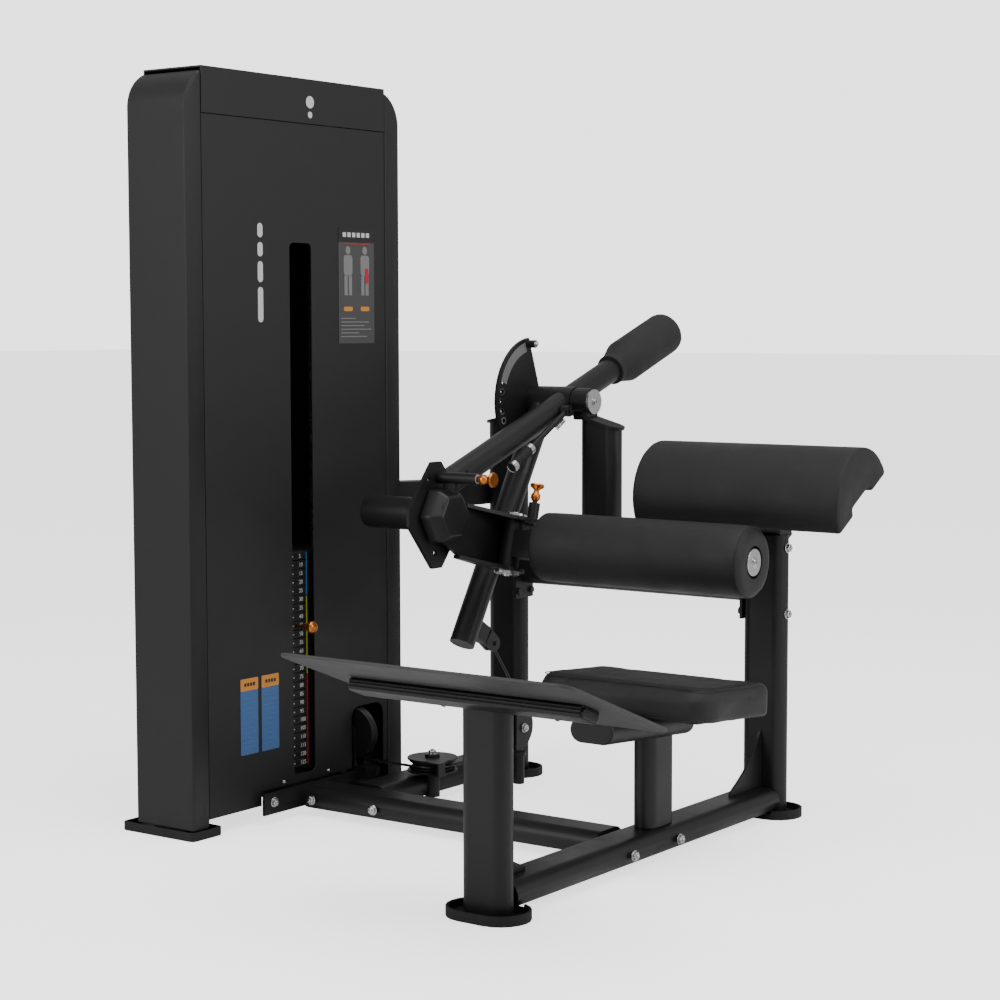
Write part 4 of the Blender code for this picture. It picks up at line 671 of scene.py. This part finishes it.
def tower_marks():
    """Generic marks: two discs on the header, a column of pills, an exercise placard and two notice labels."""
    proud = 0.0004
    head_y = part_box("tower_header")[0].y - proud
    front_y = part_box("tower_front_panel")[0].y - proud
    dots = [rounded(size, size, size * 0.49, 6, (-0.1545, z)) for size, z in ((0.026, 1.540), (0.014, 1.513))]
    flat_mark("header_mark", dots, "print_white", head_y)
    pills = [rounded(0.016, tall, 0.0078, 6, (-0.3175, z))
             for tall, z in ((0.074, 1.106), (0.044, 1.175), (0.030, 1.222), (0.030, 1.262))]
    flat_mark("side_mark", pills, "print_white", front_y)

    flat_mark("placard_sheet", [bar(-0.062, 0.061, 1.022, 1.275)], "print_grey", front_y)
    above = front_y - MARK_THICK
    flat_mark("placard_band", [bar(-0.062, 0.061, 1.245, 1.275)], "print_ink", above)
    flat_mark("placard_title", [bar(-0.048 + 0.016 * index, -0.037 + 0.016 * index, 1.256, 1.266)
                                for index in range(6)], "print_white", above - 0.0004)
    flat_mark("placard_rule", [bar(-0.045, 0.045, 1.2405, 1.2425)], "print_red", above)
    figures = []
    for x in (-0.030, 0.028):
        figures.append(rounded(0.016, 0.018, 0.0079, 4, (x, 1.227)))
        figures.append(rounded(0.030, 0.045, 0.008, 4, (x, 1.194)))
        figures.append(bar(x - 0.013, x - 0.002, 1.128, 1.171))
        figures.append(bar(x + 0.002, x + 0.013, 1.128, 1.171))
    flat_mark("placard_figures", figures, "print_dim", above)
    flat_mark("placard_muscle", [rounded(0.012, 0.034, 0.005, 4, (0.034, 1.171))], "print_red", above - 0.0005)
    flat_mark("placard_steps", [rounded(0.030, 0.010, 0.004, 4, (x, 1.098)) for x in (-0.030, 0.028)],
              "print_orange", above)
    lines = [bar(-0.055, -0.055 + reach, z, z + 0.0022)
             for z, reach in ((1.076, 0.050), (1.068, 0.096), (1.060, 0.080), (1.052, 0.104),
                              (1.044, 0.062), (1.036, 0.090))]
    flat_mark("placard_lines", lines, "print_dim", above)

    for label, x0, x1 in (("notice_left", -0.394, -0.339), ("notice_right", -0.328, -0.273)):
        middle = (x0 + x1) / 2
        wide = x1 - x0
        sheet = rounded(wide, 0.163, 0.003, 3, (middle, 0.2365))
        flat_mark(label + "_sheet", [sheet], "print_blue", front_y)
        head = rounded(wide, 0.026, 0.003, 3, (middle, 0.305))
        flat_mark(label + "_head", [head], "print_orange", above)
        rows = [bar(x0 + 0.006, x1 - 0.008 - 0.006 * (row % 3), z, z + 0.0012)
                for row, z in enumerate(0.170 + 0.0105 * step for step in range(11))]
        flat_mark(label + "_rows", rows, "print_sky", above)
        blocks = [bar(middle - 0.016 + 0.009 * step, middle - 0.010 + 0.009 * step, 0.3015, 0.3085)
                  for step in range(4)]
        flat_mark(label + "_word", blocks, "print_ink", above - 0.0005)

    screws = [((x, front_y + proud, 0.077), NEAR_WAY) for x in (-0.2583, -0.1103)]
    scatter("panel_screws", button_pattern(), screws, "bolt_zinc", "base")


def stack_details():
    """Near-black discs of painted shade for the pin holes, plate numbers and the coloured strip down the front of
    the plates.
    """
    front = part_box("resting_plates")[0].y
    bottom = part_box("resting_plates")[0].z
    pitch = 0.019
    middle_part = 0.46
    selector_z = 0.4082
    pin_room = 0.008
    plate_count = 25
    weight_step = 5
    # A near-black disc on the plates' front at each pin hole: painted shade in place of the hole.
    hole = lathe([(0.0, 0.0), (0.0058, 0.0), (0.0058, 0.0005), (0.0, 0.0005)], (0, 0, 0), UP, 24)
    digit_turn = frame_from((0, front - 0.0007, 0), (1, 0, 0), (0, 0, 1))
    for label, body, plates in (("resting", "base", range(0, 16)), ("lifted", "stack", range(16, plate_count))):
        heights = [bottom + (plate_index + middle_part) * pitch for plate_index in plates]
        holes = [((STACK_X, front - 0.0001, z), NEAR_WAY) for z in heights if abs(z - selector_z) > pin_room]
        scatter(label + "_pin_holes", hole.copy(), holes, "painted_hole_shade", body)
        ticks = [plate(bar(-0.2010, -0.1975, z - 0.001, z + 0.001), 0.0004, digit_turn) for z in heights]
        add_piece(label + "_ticks", merged(ticks), "print_white", body)
        numbers = []
        for z, plate_index in zip(heights, plates):
            text = bpy.data.curves.new("number", "FONT")
            text.body = str((plate_count - plate_index) * weight_step)
            text.size = 0.0125
            text.extrude = 0.0002
            mesh = baked("number", working("number", text))
            mesh.transform(digit_turn @ Matrix.Translation((-0.1795, z - 0.0042, 0)))
            numbers.append(mesh)
        add_piece(label + "_numbers", merged(numbers), "print_white", body)
    for name, body, look, low, high in (("strip_red", "base", "print_red", 0.0975, 0.297),
                                        ("strip_lime", "base", "print_lime", 0.299, 0.3975),
                                        ("strip_lime_lifted", "stack", "print_lime", 0.401, 0.470),
                                        ("strip_sky", "stack", "print_sky", 0.472, 0.568)):
        mesh = plate(bar(-0.1565, -0.1535, low, high), 0.0008, digit_turn)
        add_piece(name, mesh, look, body)


# ---------------------------------------------------------------- pads

def swollen(name, mesh, voxel, pressure, cap):
    """The mesh blown up a little by cloth pressure, with each point's movement capped."""
    item = working(name, mesh)
    remesh = item.modifiers.new("voxels", "REMESH")
    remesh.mode = "VOXEL"
    remesh.voxel_size = voxel
    mesh = baked(name, item)
    before = [vertex.co.copy() for vertex in mesh.vertices]
    item = working(name, mesh)
    cloth = item.modifiers.new("cloth", "CLOTH")
    cloth.settings.use_pressure = True
    cloth.settings.uniform_pressure_force = pressure
    cloth.settings.effector_weights.gravity = 0.0
    cloth.settings.tension_stiffness = 30
    cloth.settings.compression_stiffness = 30
    last_frame = 20
    cloth.point_cache.frame_start = 1
    cloth.point_cache.frame_end = last_frame
    for step in range(1, last_frame + 1):
        bpy.context.scene.frame_set(step)
    mesh = baked(name, item)
    bpy.context.scene.frame_set(1)
    for vertex, start in zip(mesh.vertices, before):
        move = vertex.co - start
        if move.length > cap:
            vertex.co = start + move.normalized() * cap
    return mesh


def clipped(mesh, low, high):
    """The mesh with every point held inside the box from low to high."""
    for vertex in mesh.vertices:
        for axis in range(3):
            vertex.co[axis] = min(max(vertex.co[axis], low[axis]), high[axis])
    return mesh


def smoothed(mesh, factor, repeat):
    """The mesh eased by a smooth pass and then subdivided once."""
    item = working("smoothing", mesh)
    ease = item.modifiers.new("ease", "SMOOTH")
    ease.factor = factor
    ease.iterations = repeat
    finer = item.modifiers.new("finer", "SUBSURF")
    finer.levels = 1
    finer.render_levels = 1
    return baked("smoothed", item)


def seat_frame():
    """The seat's own frame: x down its slope, y across it and z out of its top."""
    tilt = 4.3 * DEG
    low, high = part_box("seat_pad")
    return frame_from((low + high) / 2, (math.cos(tilt), 0, -math.sin(tilt)), (0, 1, 0))


def seat():
    """A tapered seat pad: slanted front shoulder, skirt down over its board and a seam round its top panel."""
    turn = seat_frame()
    half_x = 0.1300
    half_y = 0.2050
    wide = 0.050
    blunt = 0.014
    work = bmesh.new()
    rings = []
    for front_inset, inset, z in ((0.006, 0.002, -0.0370), (0.002, 0.0, -0.0300), (0.002, 0.0, 0.002),
                                  (0.012, 0.001, 0.0180), (0.024, 0.006, 0.0270)):
        front = -half_x + front_inset
        back = half_x - inset
        side = half_y - inset
        loop = arc((back - blunt, side - blunt), blunt, 0, 90, 4)
        loop += arc((front + wide, side - wide), wide, 90, 180, 8)
        loop += arc((front + wide, -side + wide), wide, 180, 270, 8)
        loop += arc((back - blunt, -side + blunt), blunt, 270, 360, 4)
        rings.append([work.verts.new((x, y, z)) for x, y in loop])
    for lower, upper in zip(rings, rings[1:]):
        for index in range(len(lower)):
            after = (index + 1) % len(lower)
            work.faces.new((lower[index], lower[after], upper[after], upper[index]))
    work.faces.new(rings[0])
    work.faces.new(rings[-1])
    mesh = mesh_of("seat", work)
    mesh = swollen("seat", mesh, voxel=0.005, pressure=4.0, cap=0.0040)
    mesh = clipped(mesh, (-0.131, -0.206, -0.0372), (0.131, 0.206, 0.0300))
    mesh = smoothed(mesh, 0.5, 2)
    mesh.transform(turn)
    pad = add_piece("seat_cushion", mesh, "leatherette", "base", 60.0)
    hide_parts("seat_pad")
    seam_z = 0.0262
    seam = [(x + 0.006, y, seam_z) for x, y in rounded(2 * half_x - 0.028, 2 * half_y - 0.014, 0.040, 8)]
    welt = tube_along([turn @ Vector(point) for point in seam], THREAD_RADIUS, 8, True)
    add_piece("seat_welt", welt, "thread", "base")


def back_pad():
    """A half-round pad with a channel in its flat side and a seam round each end cap."""
    tilt = 29.3 * DEG
    centre = Vector((0.340, -0.3555, 0.687))
    climb = Vector((math.cos(tilt), 0, math.sin(tilt)))
    out = Vector((-math.sin(tilt), 0, math.cos(tilt)))
    radius = 0.1190
    flat = 0.0015
    channel_x, channel_y = 0.047, 0.0185
    outline = [(radius - 0.003, flat)] + arc((0, 0), radius, 3, 177, 40) + [
        (-radius + 0.003, flat), (-channel_x, flat), (-channel_x, channel_y), (channel_x, channel_y),
        (channel_x, flat)]
    turn = frame_from(centre, climb, out)
    mesh = plate(outline, 0.498, Matrix.Identity(4), 0.003)
    mesh = swollen("back_pad", mesh, voxel=0.0050, pressure=3.0, cap=0.0025)
    mesh = smoothed(mesh, 0.4, 1)
    mesh.transform(turn)
    pad = add_piece("back_cushion", mesh, "leatherette", "base", 60.0)
    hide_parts("back_pad")
    rings = []
    for end in (-0.240, 0.240):
        seam = [(x, y, end) for x, y in arc((0, 0), 0.1192, 4, 176, 40)]
        rings.append(tube_along([turn @ Vector(point) for point in seam], THREAD_RADIUS, 8))
    add_piece("back_cushion_seams", merged(rings), "thread", "base")


def roller():
    """The padded roller: a long sleeve with a piped seam and a slightly dished cap at each end."""
    joint = JOINTS["roller_spin"]
    direction = Vector(joint["axis"]).normalized()
    pin = Vector(joint["pos_m"])
    start = ROLLER_START
    near = start + ROLLER_LENGTH
    bore = 0.0262
    full = 0.0745
    lip = full - 0.0004
    steps = 96
    profile = [(bore, near - 0.0125), (0.0335, near - 0.0125), (0.0335, near - 0.0020), (0.0360, near - 0.0005),
               (0.0600, near - 0.0010), (0.0665, near - 0.0030), (0.0700, near - 0.0075),
               (0.0722, near - 0.0090), (0.0728, near - 0.0120), (lip, near - 0.020), (full, near - 0.045),
               (full, start + 0.045), (lip, start + 0.020), (0.0728, start + 0.0120),
               (0.0722, start + 0.0090), (0.0700, start + 0.0070), (0.0665, start + 0.0030),
               (0.0600, start + 0.0008), (0.0380, start + 0.0004), (bore, start + 0.0004),
               (bore, near - 0.0125)]
    work = bmesh.new()
    work.from_mesh(lathe(profile, pin, direction, steps))
    bmesh.ops.remove_doubles(work, verts=work.verts, dist=MERGE_GAP)
    mesh = mesh_of("roller", work)
    pad = add_piece("roller_cushion", mesh, "leatherette", "roller", 50.0)
    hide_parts("roller")
    inset = 0.0102
    rings = [lathe([(0.0712, d - 0.0013), (0.0731, d - 0.0009), (0.0737, d), (0.0731, d + 0.0009),
                    (0.0712, d + 0.0013), (0.0712, d - 0.0013)], pin, direction, steps)
             for d in (near - inset, start + inset)]
    add_piece("roller_piping", merged(rings), "thread", "roller")


# ---------------------------------------------------------------- arm details

def release_details():
    """The hand lever's ribbed grip with bright rings, and the small return spring."""
    pivot = Vector(JOINTS["arm_release_squeeze"]["pos_m"])
    ahead = Vector((-0.877, 0, -0.4805)).normalized()
    start = 0.1603
    body, crest = 0.0108, 0.0121
    profile = [(0.0, start), (0.0105, start), (0.0120, start + 0.0015), (0.0120, start + 0.011),
               (body, start + 0.012)]
    for ring in range(9):
        base = start + 0.0135 + ring * 0.0062
        profile += [(body, base), (crest, base + 0.0016), (crest, base + 0.0040), (body, base + 0.0056)]
    profile += [(body, 0.2320), (0.0123, 0.2330), (0.0123, 0.2430), (0.0105, 0.2448), (0.0, 0.2448)]
    sleeve = lathe(profile, pivot, ahead, 40)
    piece = add_piece("release_grip_sleeve", sleeve, "foam_grip", "arm_release")
    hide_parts("release_grip")
    rings = [lathe([(0.0100, near), (0.0126, near + 0.001), (0.0126, near + 0.013), (0.0100, near + 0.014),
                    (0.0100, near)], pivot, ahead, 40) for near in (start, 0.2315)]
    add_piece("release_grip_rings", merged(rings), "bright_steel", "arm_release")
    turns = 10
    steps = 120
    level = Vector((0, 1, 0))
    side = ahead.cross(level).normalized()
    coil = []
    for step in range(steps + 1):
        turn = step / steps * turns * 2 * math.pi
        spot = pivot + ahead * (0.018 + 0.036 * step / steps) + side * 0.0135
        coil.append(spot + 0.0042 * (math.cos(turn) * side + math.sin(turn) * level))
    add_piece("release_spring", tube_along(coil, 0.0009, 8), "bolt_zinc", "arm_release")


def sector_details():
    """The pale scale on the lock sector, bright bushes round its holes and its stop bolt."""
    pivot = Vector(JOINTS["lever_pivot"]["pos_m"])
    plate_y = 0.2865
    turn = frame_from((pivot.x, plate_y - 0.0008, pivot.z), (1, 0, 0), (0, 0, 1))
    band = arc((0, 0), 0.139, 104, 160, 20) + arc((0, 0), 0.117, 160, 104, 20)
    add_piece("sector_scale", plate(band, 0.0012, turn, 0.0003), "scale_plate", "lever")
    bore, rim, height = 0.0062, 0.0082, 0.0011
    bush = lathe([(bore, 0.0), (rim, 0.0), (rim, height), (bore, height), (bore, 0.0)], (0, 0, 0), UP, 24)
    hole_radius = 0.128
    first_hole = 199.65
    hole_step = 10
    places = []
    for step in range(4):
        angle = (first_hole - hole_step * step) * DEG
        places.append(((pivot.x + hole_radius * math.cos(angle), plate_y,
                        pivot.z + hole_radius * math.sin(angle)), NEAR_WAY))
    scatter("sector_bushes", bush, places, "bolt_zinc", "lever")
    stop_radius = 0.134
    stop_angle = 101 * DEG
    stop = Vector((pivot.x + stop_radius * math.cos(stop_angle), 0.262,
                   pivot.z + stop_radius * math.sin(stop_angle)))
    scatter("sector_stop_bolt", bolt_pattern(), [(stop, NEAR_WAY)], "bolt_zinc", "lever", 0.6)


def pivot_caps():
    """Screws in the middle of the bright pivot caps."""
    pivot = Vector(JOINTS["lever_pivot"]["pos_m"])
    screw = lathe([(0.0, 0.0), (0.0110, 0.0), (0.0110, 0.0010), (0.0068, 0.0014), (0.0065, 0.0040),
                   (0.0030, 0.0044), (0.0028, 0.0022), (0.0, 0.0022)], (0, 0, 0), UP, 32)
    low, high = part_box("pivot_axle")
    ends = [((pivot.x, low.y, pivot.z), NEAR_WAY), ((pivot.x, high.y, pivot.z), (0, 1, 0))]
    scatter("pivot_screws", screw, ends, "bolt_zinc", "base")
    swing = Vector(JOINTS["roller_swing"]["axis"]).normalized()
    pin = Vector(JOINTS["roller_swing"]["pos_m"])
    half_pin = 0.0663
    ends = [(pin + swing * half_pin, swing), (pin - swing * half_pin, -swing)]
    scatter("swing_screws", screw.copy(), ends, "bolt_zinc", "bracket")
    roll = Vector(JOINTS["roller_spin"]["axis"]).normalized()
    cap_face = 0.008 - 0.0063
    end = Vector(JOINTS["roller_spin"]["pos_m"]) + roll * (ROLLER_START + ROLLER_LENGTH - cap_face)
    scatter("roller_screw", screw.copy(), [(end, roll)], "bolt_zinc", "roller_carrier")


def plunger_collars():
    """Pale nylon rings where the two spring plungers leave their barrels."""
    bore, rim, height = 0.0062, 0.0108, 0.0045
    ring = lathe([(bore, 0.0), (rim, 0.0), (rim, height - 0.0010), (rim - 0.0012, height), (bore, height),
                  (bore, 0.0)], (0, 0, 0), UP, 32)
    low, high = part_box("lock_pull_pin")
    lock = (low + high) / 2
    swing = Vector(JOINTS["roller_swing"]["axis"]).normalized()
    pin = Vector(JOINTS["roller_swing"]["pos_m"])
    tilt = 15 * DEG
    across = Vector((math.cos(tilt), 0, -math.sin(tilt)))
    places = [((lock.x, 0.0660, lock.z), NEAR_WAY), (pin + across * 0.066 + swing * 0.0985, swing)]
    scatter("plunger_collars", ring, places, "pale_nylon", "bracket")


def bracket_cowl():
    """The faceted cowl that joins the roller's bracket to the lock plate on the end tube."""
    near = Vector(JOINTS["bracket_tilt"]["pos_m"])
    near.y = 0.1130
    profile = [(0.0, 0.0), (0.048, 0.0), (0.063, 0.022), (0.065, 0.0500), (0.0, 0.0500)]
    cowl = softened(lathe(profile, near, (0, 1, 0), 6), 0.0050, 3, 20.0)
    add_piece("bracket_cowl", cowl, "powder_coat", "bracket", 0.0)


def moving_cables():
    """The two cable ends that follow a joint: one from the post pulley to the lever, one down to the stack."""
    fixed = Vector((0.3431, 0.257, 0.1647))
    hooked = Vector((0.2149, 0.257, 0.3292))
    wire = tube_along([fixed.lerp(hooked, step / 24) for step in range(25)], CABLE_RADIUS, 12)
    piece = add_piece("cable_to_lever", wire, "nylon", None)
    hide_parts("cable_lever_end")
    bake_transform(piece)
    top = Vector((STACK_X, STACK_CABLE_Y, 1.3944))
    bottom = Vector((STACK_X, STACK_CABLE_Y, 0.5970))
    wire = tube_along([top.lerp(bottom, step / 60) for step in range(61)], CABLE_RADIUS, 12)
    piece = add_piece("cable_to_stack", wire, "nylon", None)
    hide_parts("cable_stack_end")
    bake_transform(piece)


# ---------------------------------------------------------------- stage

def stage():
    """A pale floor and backdrop that glow for the camera alone, and three soft lights."""
    floor = bpy.data.meshes.new("floor")
    reach = 60.0
    floor.from_pydata([(-reach, -reach, 0), (reach, -reach, 0), (reach, reach, 0), (-reach, reach, 0)], [],
                      [(0, 1, 2, 3)])
    item = working("floor", floor)
    pale = bpy.data.materials.new("pale_floor")
    pale.use_nodes = True
    shader = pale.node_tree.nodes["Principled BSDF"]
    shader.inputs["Base Color"].default_value = (0.92, 0.92, 0.92, 1.0)
    shader.inputs["Roughness"].default_value = 0.75
    shader.inputs["Emission Color"].default_value = (1.0, 1.0, 1.0, 1.0)
    seen = pale.node_tree.nodes.new("ShaderNodeLightPath")
    level = pale.node_tree.nodes.new("ShaderNodeMath")
    level.operation = "MULTIPLY"
    level.inputs[1].default_value = 1.6
    pale.node_tree.links.new(seen.outputs["Is Camera Ray"], level.inputs[0])
    pale.node_tree.links.new(level.outputs["Value"], shader.inputs["Emission Strength"])
    floor.materials.append(pale)

    world = bpy.data.worlds.new("studio")
    bpy.context.scene.world = world
    world.use_nodes = True
    tree = world.node_tree
    glow = tree.nodes["Background"]
    glow.inputs["Strength"].default_value = 0.55
    backdrop = tree.nodes.new("ShaderNodeBackground")
    backdrop.inputs["Strength"].default_value = 2.6
    for node in (glow, backdrop):
        node.inputs["Color"].default_value = (1.0, 1.0, 1.0, 1.0)
    seen = tree.nodes.new("ShaderNodeLightPath")
    choose = tree.nodes.new("ShaderNodeMixShader")
    tree.links.new(seen.outputs["Is Camera Ray"], choose.inputs["Fac"])
    tree.links.new(glow.outputs["Background"], choose.inputs[1])
    tree.links.new(backdrop.outputs["Background"], choose.inputs[2])
    tree.links.new(choose.outputs["Shader"], tree.nodes["World Output"].inputs["Surface"])

    def softbox(name, place, aim, size, power):
        light = bpy.data.lights.new(name, "AREA")
        light.shape = "RECTANGLE"
        light.size, light.size_y = size
        light.energy = power
        lamp = bpy.data.objects.new(name, light)
        lamp.location = place
        lamp.rotation_euler = (Vector(aim) - Vector(place)).to_track_quat("-Z", "Y").to_euler()
        bpy.context.scene.collection.objects.link(lamp)

    softbox("overhead", (-0.6, -0.8, 3.6), (0.0, 0.0, 0.6), (3.0, 3.0), 90)
    softbox("left_side", (-3.6, 1.6, 2.0), (0.0, 0.1, 0.7), (1.6, 2.4), 60)
    softbox("near_side", (0.8, -3.8, 1.9), (0.1, 0.0, 0.6), (2.4, 2.0), 60)


def camera():
    """The main view: angles in radians, place in metres."""
    yaw = 0.625134585
    pitch = 0.0811361
    roll = -0.00205909
    ahead = Vector((math.cos(pitch) * math.cos(yaw), math.cos(pitch) * math.sin(yaw), -math.sin(pitch)))
    right = Vector((math.sin(yaw), -math.cos(yaw), 0))
    above = right.cross(ahead)
    right, above = (right * math.cos(roll) + above * math.sin(roll),
                    above * math.cos(roll) - right * math.sin(roll))
    lens = bpy.data.cameras.new("camera")
    lens.lens = 79.117
    lens.sensor_width = 36.0
    lens.clip_end = 100.0
    item = bpy.data.objects.new("camera", lens)
    matrix = Matrix((right, above, -ahead)).transposed().to_4x4()
    matrix.translation = Vector((-3.790, -2.6508, 1.07))
    item.matrix_world = matrix
    bpy.context.scene.collection.objects.link(item)
    bpy.context.scene.camera = item


def main():
    camera()
    stage()
    painted_steel()
    tower_cover("tower_cover_left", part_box("tower_cover_left")[0].x, 1)
    tower_cover("tower_cover_right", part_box("tower_cover_right")[1].x, -1)
    tower_head()
    tower_marks()
    stack_details()
    foot_plate()
    frame_bolts()
    counterweight()
    seat()
    back_pad()
    roller()
    release_details()
    sector_details()
    pivot_caps()
    plunger_collars()
    bracket_cowl()
    moving_cables()


main()
